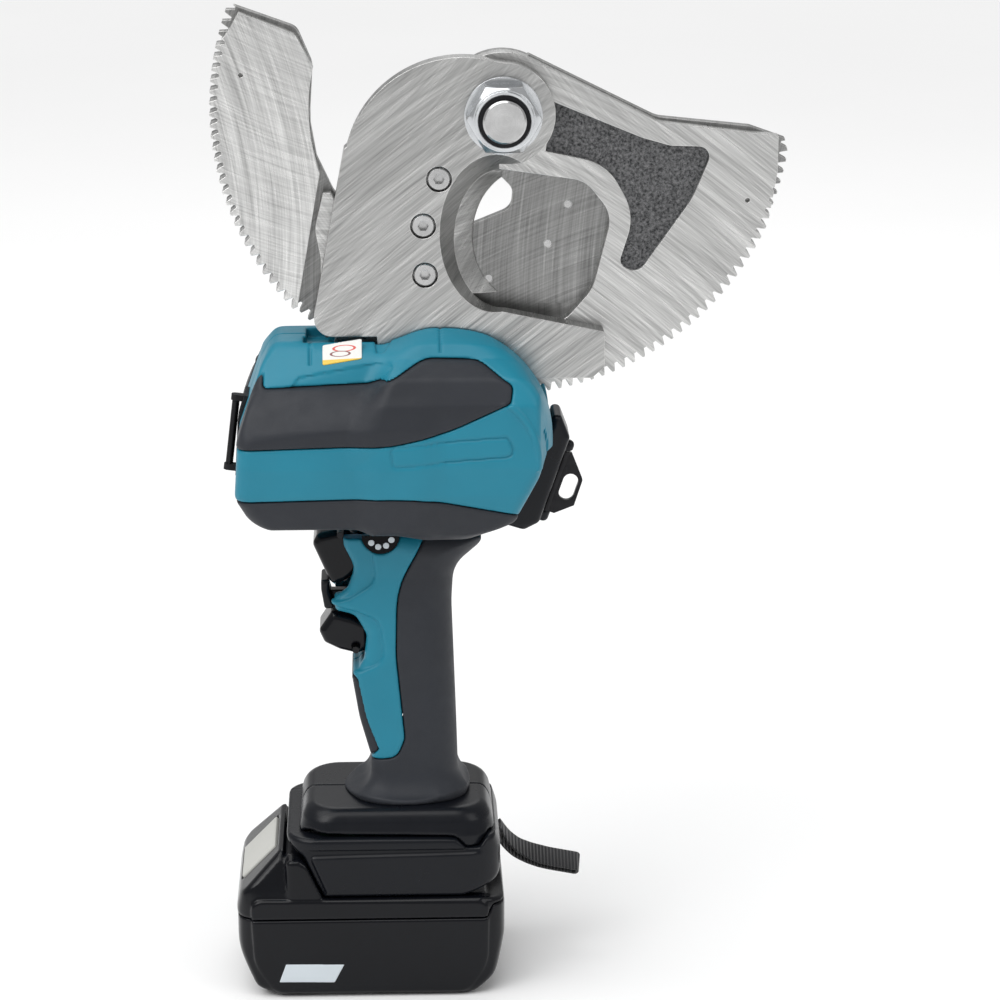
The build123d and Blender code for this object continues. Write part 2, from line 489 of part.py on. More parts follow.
def make_housing():
    outer = body_block(0)
    inner = body_block(WALL)
    under_skin = body_block(SKIN)
    shell = outer - inner
    bosses = None
    for spot in BOSSES:
        boss = rod(spot, BOSS_R, -HALF_DEPTH + 2, HALF_DEPTH - 2) & under_skin
        bosses = boss if bosses is None else bosses + boss
    shell = shell + bosses
    shell -= blade_slot()
    shell -= handle_block(0.0) & box((-40, 80), (-60, 60), (150, 206.5))
    for spot in BOSSES:
        shell -= rod(spot, SCREW_R, -20.0, HALF_DEPTH - 8.0)
        shell -= rod(spot, 3.4, HALF_DEPTH - 8.0, HALF_DEPTH + 2)
    shell -= across(offset(spine_face(), amount=0.2), -11.2, 11.2)
    shell -= box((6.0, 40.0), (-9.0, 9.0), (195.0, 216.0))
    upper = across(outline(UPPER_BUMPER), -60, 60) & outer
    upper -= box((-80, 90), (-25, 25), (200, 300))
    lower = across(outline(LOWER_BUMPER), -60, 60) & outer
    lower -= box((-80, 90), (-21, 21), (190, 300))
    upper_pad = (upper - under_skin)
    lower_pad = (lower - under_skin)
    for spot in BOSSES:
        hole = rod(spot, 3.4, HALF_DEPTH - 8.0, HALF_DEPTH + 2) + rod(spot, SCREW_R, 20.0, HALF_DEPTH - 8.0)
        upper_pad -= hole
        lower_pad -= hole
    front_half = box((-80, 95), (-60, 0), (190, 310))
    back_half = box((-80, 95), (0, 60), (190, 310))
    shell = shell - upper_pad - lower_pad
    save("housing_front", largest(shell & front_half))
    save("housing_back", largest(shell & back_half))
    save("bumper_upper_front", largest(upper_pad & front_half))
    save("bumper_upper_back", largest(upper_pad & back_half))
    save("bumper_lower_front", largest(lower_pad & front_half))
    save("bumper_lower_back", largest(lower_pad & back_half))
    screws = []
    for spot in BOSSES:
        screws.append(rod(spot, SCREW_R, -19.0, HALF_DEPTH - 8.0)
                      + rod(spot, 3.2, HALF_DEPTH - 8.0, HALF_DEPTH - 5.5))
    return screws


def largest(shape):
    return shape.solids().sort_by(SortBy.VOLUME)[-1]


def make_label():
    """Warning label stuck on the sloping top panel."""
    (top_y, top_z), (low_y, low_z) = LEFT_SECTION[1][:2], LEFT_SECTION[2][:2]
    slope = atan2(top_z - low_z, low_y - top_y)
    plane = Plane(origin=(LABEL_X, -(top_y + low_y) / 2, (top_z + low_z) / 2), x_dir=(1, 0, 0),
                  z_dir=(0, -sin(slope), cos(slope)))
    label = extrude(plane * RectangleRounded(LABEL_SIZE[0], LABEL_SIZE[1], 1.0), amount=0.3)
    save("warning_label", label)


# ---------------------------------------------------------------- handle
HANDLE_SIDE = [(-12.0, 206.0), (-11.6, 199.0, 3), (-7.0, 189.0, 8), (-9.8, 180.4, 3),
               (-16.0, 175.8, 3.6), (-15.4, 168.6, 3.6), (-6.5, 166.4, 5), (-2.2, 158.0, 5), (-3.4, 148.0, 3),
               (-7.2, 141.0, 4), (-4.0, 121.0, 60), (0.6, 104.0, 8), (1.8, 96.0, 6), (-11.6, FOOT_TOP),
               (42.2, FOOT_TOP), (38.2, 94.0, 10), (37.4, 121.0, 80), (35.6, 172.0, 60), (36.6, 188.0, 16), (52.0, 202.0, 12), (60.0, 206.0)]


def handle_block(inset):
    """Outer form of the handle between the foot and the housing."""
    side = outline(HANDLE_SIDE)
    width = [(-28.0, 83.8), (-20.5, 93.0, 10), (-GRIP_HALF, 120.0, 60), (-GRIP_HALF, 185.0, 30), (-22.0, 206.4),
             (22.0, 206.4), (GRIP_HALF, 185.0, 30), (GRIP_HALF, 120.0, 60), (20.5, 93.0, 10), (28.0, 83.8)]
    front = outline(width)
    if inset:
        side = offset(side, amount=-inset, kind=Kind.INTERSECTION)
        front = offset(front, amount=-inset)
    rounded = loft([Plane.XY.offset(83.0) * (Pos(15.0, 0) * RectangleRounded(60.0, 58.0, 26.0)),
                    Plane.XY.offset(97.0) * (Pos(18.0, 0) * RectangleRounded(42.0, 40.0, 14.0)),
                    Plane.XY.offset(207.0) * (Pos(20.0, 0) * RectangleRounded(84.0, 44.0, 14.0))], ruled=True)
    if inset:
        return across(side, -30, 30) & along_x(front, -40, 90)
    return across(side, -30, 30) & along_x(front, -40, 90) & rounded


GRIP_AREA = [(26.5, 207.0), (12.5, 180.0, 40), (11.8, 150.0, 60), (15.4, 112.0, 8), (12.0, 103.4, 6), (-14.0, 100.0),
             (-20.0, 80.0), (70.0, 80.0), (70.0, 207.0)]
PAD_AREA = [(-12.0, 141.6), (-6.6, 140.6), (-0.6, 136.0, 3), (5.0, 108.0, 4), (1.0, 103.6), (-12.0, 103.6)]
UPPER_PIN = (-11.5, 203.2)
LOWER_PIN = (-5.5, 151.5)
PIN_R = 1.5


def make_handle():
    outer = handle_block(0)
    inner = handle_block(3.2)
    shell = outer - inner
    grip = across(outline(GRIP_AREA), -60, 60) & outer
    grip_skin = grip - handle_block(SKIN) - box((12.0, 34.0), (-9.0, 9.0), (80.0, 210.0))
    pad = (across(outline(PAD_AREA), -9.0, 9.0) & outer) - handle_block(SKIN)
    core = shell - grip_skin - pad
    core -= box((-30, 4.6), (-TRIGGER_HALF - 0.5, TRIGGER_HALF + 0.5), (145.0, 173.0))
    core -= box((-30, 4.6), (-TRIGGER_HALF - 0.5, TRIGGER_HALF + 0.5), (175.6, 206.2))
    core -= box((-25, -14.4), (-12.4, 12.4), (166.0, 182.6))
    core -= box((-15, -8.2), (-6.4, 6.4), (168.0, 175.6))
    core -= box((12.0, 34.0), (-9.0, 9.0), (80.0, 147.0)) + box((12.0, 34.0), (-9.0, 9.0), (151.0, 210.0))
    core -= disc_seat()
    core = core & box((-60, 90), (-60, 60), (FOOT_TOP, HANDLE_TOP))
    grip_skin = grip_skin & box((-60, 90), (-60, 60), (FOOT_TOP, HANDLE_TOP))
    front_half = box((-60, 95), (-60, 0), (70, 310))
    back_half = box((-60, 95), (0, 60), (70, 310))
    pins = [rod(UPPER_PIN, PIN_R, -TRIGGER_HALF - 4.0, TRIGGER_HALF + 4.0),
            rod(LOWER_PIN, PIN_R, -TRIGGER_HALF - 4.0, TRIGGER_HALF + 4.0)]
    for spot, pin in zip((UPPER_PIN, LOWER_PIN), pins):
        core -= pin
        core -= rod(spot, 2.9, TRIGGER_HALF, TRIGGER_HALF + 4.2)
    save("handle_front", largest(core & front_half))
    save("handle_back", largest(core & back_half))
    save("grip_rubber", grip_skin)
    save("finger_pad", pad)
    save("trigger_pins", *pins)


def disc_seat():
    """Recess for the indicator, open towards the housing."""
    seat = rod(DISC_SPOT, DISC_R, -GRIP_HALF - 6, -GRIP_HALF + 0.4)
    return seat + box((DISC_SPOT[0] - DISC_R, DISC_SPOT[0] + DISC_R), (-GRIP_HALF - 6, -GRIP_HALF + 0.4),
                      (DISC_SPOT[1], HANDLE_TOP + 1))


def make_indicator():
    """Round indicator in the front of the handle, its top edge cut off by the housing."""
    face = rod(DISC_SPOT, DISC_R, -GRIP_HALF - 1.4, -GRIP_HALF + 0.4)
    save("indicator_disc", face & box((-60, 90), (-60, 60), (FOOT_TOP, HANDLE_TOP - 0.2)))


UPPER_TRIGGER = [(-14.4, 203.6, 2), (-21.5, 202.0, 3), (-23.6, 197.8, 3), (-15.6, 179.2, 3),
                 (-10.2, 180.6, 3), (-2.0, 186.0, 2), (-4.0, 200.0), (-9.0, 204.3, 2)]
LOWER_TRIGGER = [(-15.4, 167.6, 2), (-21.4, 158.6, 2.5), (-19.0, 153.2, 2.5), (-12.5, 149.9, 4),
                 (-5.0, 147.9, 2), (1.4, 150.5, 2), (0.4, 162.0, 3), (-6.4, 165.0, 3)]


def make_triggers():
    upper = across(outline(UPPER_TRIGGER), -TRIGGER_HALF, TRIGGER_HALF)
    upper -= rod(UPPER_PIN, PIN_R + RUN_FIT, -20, 20)
    save("trigger_upper", upper)
    lower = across(outline(LOWER_TRIGGER), -TRIGGER_HALF, TRIGGER_HALF)
    lower -= rod(LOWER_PIN, PIN_R + RUN_FIT, -20, 20)
    save("trigger_lower", lower)
    lever = outline([(-20.2, 181.0, 1), (-20.2, 176.8, 1), (-18.8, 168.2, 1), (-14.9, 168.2), (-14.9, 170.0),
                     (-16.6, 175.8), (-16.6, 181.4)])
    lever = across(lever, -9.0, 9.0)
    save("lock_slider", lever + box((-16.7, -8.8), (-3.0, 3.0), (170.6, 174.8)))
    save("switch_upper", box((5.4, 19.0), (-8.0, 8.0), (182.0, 202.0)))
    save("switch_lower", box((5.4, 19.0), (-8.0, 8.0), (152.0, 172.0)))
    springs = []
    for pin in (UPPER_PIN, LOWER_PIN):
        coil = Helix(pitch=0.9, height=2.7, radius=2.1, center=(pin[0], TRIGGER_HALF + 0.9, pin[1]),
                     direction=(0, 1, 0))
        springs.append(sweep(Plane(origin=coil @ 0, z_dir=coil % 0) * Circle(0.35), path=coil))
    save("trigger_springs", *springs)


# ---------------------------------------------------------------- side spine and strap rings
RING_AXIS = ((76.4, 209.0), (85.75, 235.9))      # lower and upper ends of the right hinge line
RING_T = 2.6
LEFT_AXIS = ((-58.7, 231.5), (-55.2, 259.5))
LEFT_RING_T = 2.2
LUG = 2.6
PIN_END = 0.8


def spine_face():
    return outline([(79.2, 254.2, 2), (82.8, 253.8, 2), (86.6, 243.8, 2), (73.6, 206.4, 3), (67.0, 203.0, 3),
                    (57.5, 206.0), (62.2, 216.4), (69.0, 231.0), (78.4, 250.0)])


def tube_between(start, end, radius):
    """Solid cylinder between two points of the plane Y = 0."""
    run = end - start
    plane = Plane(origin=(start.X, 0, start.Y), z_dir=(run.X, 0, run.Y))
    return Solid.make_cylinder(radius, run.length, plane)


def hinge_line(ends):
    """Ends of a hinge line, and its unit direction, as vectors of the (X, Z) plane."""
    low, high = Vector(*ends[0]), Vector(*ends[1])
    return low, high, (high - low).normalized()


def make_right_ring():
    """Spine that wraps the free side of the housing, and the strap ring that swings on it."""
    low, high, run = hinge_line(RING_AXIS)
    out = Vector(run.Y, -run.X)
    spine = across(spine_face(), -11.0, 11.0)
    spine += tube_between(low - run * LUG, low, 2.6) + tube_between(high, high + run * LUG, 2.6)
    spine -= tube_between(low, high, 2.7)
    pin = tube_between(low - run * (LUG - PIN_END), high + run * (LUG - PIN_END), 1.1)
    spine -= pin
    save("side_spine", spine)
    first, last = low + run * 0.4, high - run * 0.4
    plate = outline([(p.X, p.Y) for p in (first, first + out * 4, first + out * 11 + run * 6)]
                    + [(92.6, 222.8, 2)] + [(p.X, p.Y) for p in (last + out * 2.5, last)])
    middle = (low + high) * 0.5 + out * 6.0 - run * 0.8
    slot = Pos(middle.X, middle.Y) * Rot(0, 0, degrees(atan2(run.Y, run.X))) * SlotOverall(12.0, 6.6)
    ring = across(plate - slot, -RING_T / 2, RING_T / 2) + tube_between(first, last, 2.2)
    ring -= tube_between(low - run, high + run, 1.1 + RUN_FIT)
    save("strap_ring_right", largest(ring))
    return pin


def make_left_ring():
    """Anchor on the closed end of the housing, and the strap ring folded against it."""
    low, high, run = hinge_line(LEFT_AXIS)
    inward = Vector(run.Y, -run.X)
    anchor = across(outline([(-55.9, 228.4), (-53.0, 228.4), (-51.4, 252.0), (-48.8, 262.6), (-51.3, 263.4),
                             (-54.4, 252.4)]), -8.0, 8.0)
    for start, end in ((low - run * LUG, low), (high, high + run * LUG)):
        arm = outline([(p.X, p.Y) for p in (start, end, end + inward * 6, start + inward * 6)])
        anchor += tube_between(start, end, 2.2) + across(arm, -2.2, 2.2)
    anchor -= body_block(0)
    pin = tube_between(low - run * (LUG - PIN_END), high + run * (LUG - PIN_END), 0.9)
    save("strap_anchor", largest(anchor - pin))
    first = low + run * 0.4
    length = (high - low).length - 0.8
    plane = Plane(origin=(first.X, 0, first.Y), x_dir=(0, 1, 0), z_dir=(-inward.X, 0, -inward.Y))
    flip = -1.0 if plane.y_dir.Z < 0 else 1.0
    plate = outline([(0.0, 0.0), (3.0, 0.0, 1), (15.6, flip * 10.0, 2), (15.6, flip * 18.0, 2),
                     (3.0, flip * length, 1), (0.0, flip * length)])
    slot = Pos(8.6, flip * length / 2) * Rot(0, 0, 90) * SlotOverall(13.0, 8.0)
    ring = extrude(plane * (plate - slot), amount=LEFT_RING_T / 2, both=True)
    ring += tube_between(first, first + run * length, 1.6)
    ring -= tube_between(low - run, high + run, 0.9 + RUN_FIT)
    save("strap_ring_left", largest(ring))
    return pin


# ---------------------------------------------------------------- foot
def make_foot():
    """Upper foot in two halves over a base that takes the battery's rails."""
    upper = loft([Plane.XY.offset(FOOT_SPLIT) * (Pos(11.4, 0) * RectangleRounded(85.0, 69.0, 14.0)),
                  Plane.XY.offset(FOOT_TOP - 4.0) * (Pos(11.0, 0) * RectangleRounded(81.0, 63.0, 14.0)),
                  Plane.XY.offset(FOOT_TOP) * (Pos(10.6, 0) * RectangleRounded(76.0, 56.0, 14.0))], ruled=True)
    upper -= box((-26.0, 48.0), (-29.0, 29.0), (FOOT_SPLIT - 1, FOOT_TOP - 6.0))
    upper -= box((6.0, 32.0), (-11.0, 11.0), (FOOT_TOP - 7.0, FOOT_TOP + 1))
    save("foot_front", largest(upper & box((-80, 80), (-60, 0), (60, 90))))
    save("foot_back", largest(upper & box((-80, 80), (0, 60), (60, 90))))
    side = outline([(-37.0, FOOT_SPLIT), (-37.0, 69.0, 3), (-29.0, 63.6, 3), (-20.2, FOOT_BOTTOM), (40.0, FOOT_BOTTOM, 8),
                    (57.0, 52.0, 6), (57.0, 66.0, 4), (54.0, FOOT_SPLIT)])
    plan = Pos(10.0, 0) * RectangleRounded(94.0, 73.0, 14.0)
    base = across(side, -40, 40) & extrude(Plane.XY.offset(40) * plan, amount=40)
    base -= box((-60, 50.0), (-32.4, 32.4), (40, 62.4))
    base -= box((-8.0, 30.0), (-17.0, 17.0), (62.0, 74.0))
    save("foot_base", largest(base))
    save("terminal_block", box((-6.0, 28.0), (-15.0, 15.0), (63.2, 69.2)))
    contacts = [box((-2.0, 22.0), (y - 0.5, y + 0.5), (58.6, 63.2)) for y in (-11.0, 0.0, 11.0)]
    save("terminal_contacts", *contacts)
    save("control_board", box((-22.0, 44.0), (-26.0, 26.0), (FOOT_SPLIT + 0.2, FOOT_SPLIT + 3.0)))


# ---------------------------------------------------------------- battery
def make_battery():
    plan = RectangleRounded(BATTERY[0], BATTERY[1], 12.0)
    end = outline([(-BATTERY[0] / 2, BATTERY_SEAM), (-BATTERY[0] / 2, 22.0, 20), (-50.0, 4.0, 6), (-40.0, 0.0, 6),
                   (44.0, 0.0, 8), (54.0, 8.0, 10), (BATTERY[0] / 2, 26.0, 10), (BATTERY[0] / 2, BATTERY_SEAM)])
    lower = across(end, -50, 50) & extrude(plan, amount=BATTERY_SEAM)
    inside = extrude(Plane.XY.offset(CASE_WALL) * offset(plan, amount=-CASE_WALL), amount=BATTERY_SEAM)
    hollow = across(offset(end, amount=-CASE_WALL), -50, 50) & inside
    hollow += extrude(Plane.XY.offset(BATTERY_SEAM - 8) * offset(plan, amount=-CASE_WALL), amount=20)
    lower -= hollow
    save("battery_case_lower", largest(lower))

    top = outline([(-59.0, BATTERY_SEAM), (-59.0, 39.5, 3), (-53.5, 53.0, 8), (-39.4, 69.4, 1.5), (-37.6, 69.4),
                   (-37.6, 63.0), (-30.4, 63.0), (-29.4, 61.8), (49.4, 61.8), (49.4, 45.0), (BATTERY[0] / 2, 43.0, 3),
                   (BATTERY[0] / 2, BATTERY_SEAM)])
    upper = across(top, -50, 50) & extrude(Plane.XY.offset(BATTERY_SEAM) * plan, amount=40)
    sides = box((-29.6, 60.0), (31.9, 60), (45.2, 80)) + box((-29.6, 60.0), (-60, -31.9), (45.2, 80))
    nose = along_x(outline([(-60, 45.2), (-37.6, 45.2, 0), (-26.0, 71.0), (-26.0, 90), (-60, 90)]), -70, -20)
    upper = upper - sides - nose - mirrored(nose)
    upper -= box((-54.0, 54.0), (-33.5, 33.5), (BATTERY_SEAM - 1, 41.0)) + box((-25.0, 46.0), (-29, 29), (40, 55.0))
    upper -= box((-8.0, 62.0), (-18.0, 18.0), (57.0, 64.0))
    upper -= button_block(0.3, 8.4)
    save("battery_case_upper", largest(upper))
    cells = []
    for layer in range(2):
        for k in range(5):
            centre = (-1.0 + (k - 2) * CELL_PITCH, CASE_WALL + CELL_R + 0.9 + layer * 18.2)
            cells.append(rod(centre, CELL_R, -CELL_LENGTH / 2, CELL_LENGTH / 2))
    save("battery_cells", *cells)
    save("battery_board", box((-24.0, 44.0), (-27.0, 27.0), (41.2, 43.2)))
    save("battery_button", button_block(0.0, 5.0))


BUTTON_SLOPE = ((-53.5, 53.0), (-39.4, 69.4))


def button_block(grow, depth):
    """Release button in the sloping nose of the battery."""
    low, high = Vector(*BUTTON_SLOPE[0]), Vector(*BUTTON_SLOPE[1])
    run = (high - low).normalized()
    out = Vector(-run.Y, run.X)
    start, end = low + run * (1.5 - grow), high - run * (4.5 - grow)
    corners = [start + out * 0.8, end + out * 0.8, end - out * depth, start - out * depth]
    return across(outline([(p.X, p.Y) for p in corners]), -13.0 - grow, 13.0 + grow)


# ---------------------------------------------------------------- strap and leads
STRAP_ROUTE = [(59.6, 57.6), (62.6, 52.6), (67.0, 47.4), (78.0, 43.0), (93.0, 40.2)]
STRAP_WIDTH = 10.0
STRAP_T = 4.6
STRAP_Y = 12.0


def make_strap():
    """Folded loop of webbing that leaves the side of the foot."""
    route = [Vector(*p) for p in STRAP_ROUTE]
    upper, lower = [], []
    for i, point in enumerate(route):
        before, after = route[max(0, i - 1)], route[min(len(route) - 1, i + 1)]
        run = (after - before).normalized()
        side = Vector(-run.Y, run.X) * (STRAP_T / 2)
        upper.append(point + side)
        lower.append(point - side)
    points = [(p.X, p.Y) for p in upper + lower[::-1]]
    save("wrist_strap", across(outline(points), STRAP_Y - STRAP_WIDTH / 2, STRAP_Y + STRAP_WIDTH / 2))


LEAD_R = 1.3


def make_leads():
    """Two leads from the control board up through the handle to the housing."""
    leads = []
    for y in (-4.0, 4.0):
        corners = [(22.0, y, FOOT_SPLIT + 3.2), (24.0, y, 112.0), (25.5, y, 150.0), (23.0, y, 190.0), (20.0, y, 214.0)]
        line = FilletPolyline(*corners, radius=60.0)
        leads.append(sweep(Plane(origin=line @ 0, z_dir=line % 0) * Circle(LEAD_R), path=line))
    save("power_leads", *leads)


def main():
    make_blades()
    make_pivot_bolt()
    make_frame()
    make_drive()
    save("housing_screws", *make_housing())
    make_label()
    make_handle()
    make_indicator()
    make_triggers()
    save("strap_pins", make_right_ring(), make_left_ring())
    make_foot()
    make_battery()
    make_strap()
    make_leads()


main()
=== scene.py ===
"""Rescue cutter: the looks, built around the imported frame.

Plastic shells are modelled as signed distances on a grid of points, in millimetres, and turned into
smooth meshes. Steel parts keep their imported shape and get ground, turned and plated finishes.
"""
import math

import bpy
import numpy as np
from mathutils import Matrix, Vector


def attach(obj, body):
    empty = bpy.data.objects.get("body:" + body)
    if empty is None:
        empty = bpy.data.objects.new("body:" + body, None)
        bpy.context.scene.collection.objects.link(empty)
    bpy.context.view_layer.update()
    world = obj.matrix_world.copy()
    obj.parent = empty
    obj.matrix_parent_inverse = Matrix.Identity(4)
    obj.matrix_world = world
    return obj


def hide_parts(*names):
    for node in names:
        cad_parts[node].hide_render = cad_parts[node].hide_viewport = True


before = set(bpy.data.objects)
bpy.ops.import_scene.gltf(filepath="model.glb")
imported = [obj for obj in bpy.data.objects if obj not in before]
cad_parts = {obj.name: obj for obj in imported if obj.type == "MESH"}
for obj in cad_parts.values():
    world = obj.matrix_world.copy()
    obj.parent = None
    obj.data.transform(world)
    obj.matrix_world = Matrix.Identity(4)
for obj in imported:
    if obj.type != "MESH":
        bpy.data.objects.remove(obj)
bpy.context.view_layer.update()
MM = 0.001

# ---------------------------------------------------------------- camera
LENS = 126.0
ELEVATION = math.radians(16.5)
YAW = math.radians(2.0)
DISTANCE = 1.505
TARGET = Vector((0.0571, 0.0, 0.2138))


def make_camera():
    data = bpy.data.cameras.new("camera")
    data.lens = LENS
    data.sensor_width = 36.0
    camera = bpy.data.objects.new("camera", data)
    level = math.cos(ELEVATION)
    look = Vector((math.sin(YAW) * level, math.cos(YAW) * level, -math.sin(ELEVATION)))
    camera.location = TARGET - look * DISTANCE
    camera.rotation_euler = look.to_track_quat("-Z", "Y").to_euler()
    bpy.context.scene.collection.objects.link(camera)
    bpy.context.scene.camera = camera


make_camera()


# ---------------------------------------------------------------- outlines and distances, in millimetres
def rounded(corners, step=9.0):
    """Closed polyline through (a, b) or (a, b, corner radius) corners."""
    points = []
    count = len(corners)
    for i, corner in enumerate(corners):
        point = np.array(corner[:2], float)
        radius = corner[2] if len(corner) > 2 else 0.0
        if radius <= 0.0:
            points.append(point)
            continue
        back = np.array(corners[i - 1][:2], float) - point
        ahead = np.array(corners[(i + 1) % count][:2], float) - point
        back /= np.linalg.norm(back)
        ahead /= np.linalg.norm(ahead)
        half = math.acos(np.clip(back @ ahead, -1, 1)) / 2
        middle = (back + ahead) / np.linalg.norm(back + ahead)
        centre = point + middle * radius / math.sin(half)
        first = point + back * radius / math.tan(half) - centre
        last = point + ahead * radius / math.tan(half) - centre
        turn = math.atan2(first[0] * last[1] - first[1] * last[0], first @ last)
        steps = max(2, int(abs(math.degrees(turn)) / step) + 1)
        start = math.atan2(first[1], first[0])
        for k in range(steps + 1):
            angle = start + turn * k / steps
            points.append(centre + radius * np.array([math.cos(angle), math.sin(angle)]))
    return np.array(points)


def polygon_distance(a, b, corners):
    """Signed distance from points (a, b) to a closed outline, negative inside."""
    line = rounded(corners)
    nearest = np.full(np.broadcast(a, b).shape, 1e18)
    inside = np.zeros(nearest.shape, bool)
    for p, q in zip(line, np.roll(line, -1, axis=0)):
        run = q - p
        length = run @ run
        if length < 1e-12:
            continue
        t = np.clip(((a - p[0]) * run[0] + (b - p[1]) * run[1]) / length, 0, 1)
        gap = (a - p[0] - t * run[0]) ** 2 + (b - p[1] - t * run[1]) ** 2
        nearest = np.minimum(nearest, gap)
        crosses = (p[1] > b) != (q[1] > b)
        if abs(run[1]) > 1e-12:
            inside ^= crosses & (a < p[0] + (b - p[1]) * run[0] / run[1])
    return np.where(inside, -1.0, 1.0) * np.sqrt(nearest)


def meet(a, b, radius=0.0):
    """Intersection, with its outer edge rounded by a radius, which may differ from point to point."""
    if np.all(radius <= 0.0):
        return np.maximum(a, b)
    u, v = np.maximum(a + radius, 0), np.maximum(b + radius, 0)
    return np.minimum(-radius, np.maximum(a, b)) + np.sqrt(u * u + v * v)


def join(a, b, radius=0.0):
    """Union, with its inner corner filled."""
    return -meet(-a, -b, radius)


def cut(a, b, radius=0.0):
    """a without b, with its outer edge rounded."""
    return meet(a, -b, radius)


class Space:
    """Grid of points in millimetres that holds one group of pieces."""

    def __init__(self, low, high, step):
        self.step = step
        self.low = np.array(low, float) - 2.5 * step
        counts = np.ceil((np.array(high) - np.array(low)) / step).astype(int) + 6
        axes = [self.low[k] + step * np.arange(counts[k]) for k in range(3)]
        self.x, self.y, self.z = axes[0][:, None, None], axes[1][None, :, None], axes[2][None, None, :]
        self.shape = tuple(counts)

    def side(self, corners):
        """Outline in (x, z), the same at every y."""
        return polygon_distance(self.x, self.z, corners)

    def end(self, corners):
        """Outline in (y, z), the same at every x. Only its +y half is given."""
        half = [c for c in corners if c[0] > 0]
        return polygon_distance(self.y, self.z, half + [(-c[0],) + tuple(c[1:]) for c in half[::-1]])

    def plan(self, x, y, radius, taper=0.0):
        """Upright block between two x and two y planes with rounded corners, narrower by taper."""
        middle = ((x[0] + x[1]) / 2, (y[0] + y[1]) / 2)
        u = abs(self.x - middle[0]) - (x[1] - x[0]) / 2 + radius + taper
        v = abs(self.y - middle[1]) - (y[1] - y[0]) / 2 + radius + taper
        outside = np.sqrt(np.maximum(u, 0) ** 2 + np.maximum(v, 0) ** 2)
        return outside + np.minimum(np.maximum(u, v), 0) - radius

    def slab(self, axis, low, high):
        at = (self.x, self.y, self.z)[axis]
        return np.maximum(low - at, at - high)

    def box(self, x, y, z):
        return np.maximum(np.maximum(self.slab(0, *x), self.slab(1, *y)), self.slab(2, *z))

    def rod(self, centre, radius):
        """Cylinder along y through (x, z)."""
        return np.hypot(self.x - centre[0], self.z - centre[1]) - radius

    def capsule(self, start, end, radius):
        """Round bar between two points."""
        start, end = np.array(start, float), np.array(end, float)
        run = end - start
        along = (self.x - start[0]) * run[0] + (self.y - start[1]) * run[1] + (self.z - start[2]) * run[2]
        t = np.clip(along / (run @ run), 0, 1)
        gap = [p - start[k] - t * run[k] for k, p in enumerate((self.x, self.y, self.z))]
        return np.sqrt(gap[0] ** 2 + gap[1] ** 2 + gap[2] ** 2) - radius


def sampled(grid, at):
    """Trilinear reading of a grid, or of several stacked on a last axis, at fractional indices."""
    base = np.clip(np.floor(at).astype(int), 0, np.array(grid.shape[:3]) - 2)
    part = at - base
    total = 0.0
    for corner in range(8):
        off = [(corner >> k) & 1 for k in range(3)]
        weight = np.prod([part[:, k] if off[k] else 1 - part[:, k] for k in range(3)], axis=0)
        value = grid[base[:, 0] + off[0], base[:, 1] + off[1], base[:, 2] + off[2]]
        total = total + value * weight.reshape(weight.shape + (1,) * (value.ndim - 1))
    return total


def surface(space, field):
    """Vertices in millimetres and quads where the field is zero."""
    field = np.ascontiguousarray(np.broadcast_to(field, space.shape), dtype=np.float32)
    inside = field < 0
    cells = np.array(field.shape) - 1
    total = np.zeros((int(np.prod(cells)), 3))
    hits = np.zeros(int(np.prod(cells)))
    edges = []
    for axis in range(3):
        first = [slice(None)] * 3
        second = [slice(None)] * 3
        first[axis], second[axis] = slice(None, -1), slice(1, None)
        first, second = tuple(first), tuple(second)
        index = np.argwhere(inside[first] != inside[second])
        a, b = field[first][tuple(index.T)], field[second][tuple(index.T)]
        at = index.astype(float)
        at[:, axis] += a / (a - b)
        u, v = [k for k in range(3) if k != axis]
        ok = (index[:, u] > 0) & (index[:, v] > 0) & (index[:, u] < cells[u]) & (index[:, v] < cells[v])
        index, at, low_inside = index[ok], at[ok], (a < 0)[ok]
        around = []
        for du, dv in ((1, 1), (0, 1), (0, 0), (1, 0)):
            cell = index.copy()
            cell[:, u] -= du
            cell[:, v] -= dv
            flat = np.ravel_multi_index(tuple(cell.T), tuple(cells))
            around.append(flat)
            hits += np.bincount(flat, minlength=len(hits))
            for k in range(3):
                total[:, k] += np.bincount(flat, weights=at[:, k], minlength=len(hits))
        around = np.array(around).T
        flip = low_inside if axis != 1 else ~low_inside
        around[~flip] = around[~flip][:, ::-1]
        edges.append(around)
    used = hits > 0
    points = total[used] / hits[used][:, None]
    number = np.cumsum(used) - 1
    quads = number[np.concatenate(edges)]
    slope = np.stack(np.gradient(field), axis=-1)
    for _ in range(3):
        value, run = sampled(field, points), sampled(slope, points)
        move = run * (value / np.maximum((run ** 2).sum(1), 1e-6))[:, None]
        points -= np.clip(move, -0.4, 0.4)
    return space.low + points * space.step, quads


def mesh_object(name, points, faces, body, slot, material, *nodes):
    """Piece from vertices in millimetres and faces of one size, riding on a body."""
    mesh = bpy.data.meshes.new(name)
    faces = np.asarray(faces)
    size = faces.shape[1]
    mesh.vertices.add(len(points))
    mesh.vertices.foreach_set("co", (np.asarray(points) * MM).astype(np.float32).ravel())
    mesh.loops.add(faces.size)
    mesh.loops.foreach_set("vertex_index", faces.ravel().astype(np.int32))
    mesh.polygons.add(len(faces))
    mesh.polygons.foreach_set("loop_start", np.arange(0, faces.size, size, dtype=np.int32))
    mesh.update(calc_edges=True)
    mesh.validate()
    mesh.shade_smooth()
    piece = bpy.data.objects.new(name, mesh)
    bpy.context.scene.collection.objects.link(piece)
    mesh.materials.append(material)
    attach(piece, body)
    if nodes:
        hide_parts(*nodes)
    return piece


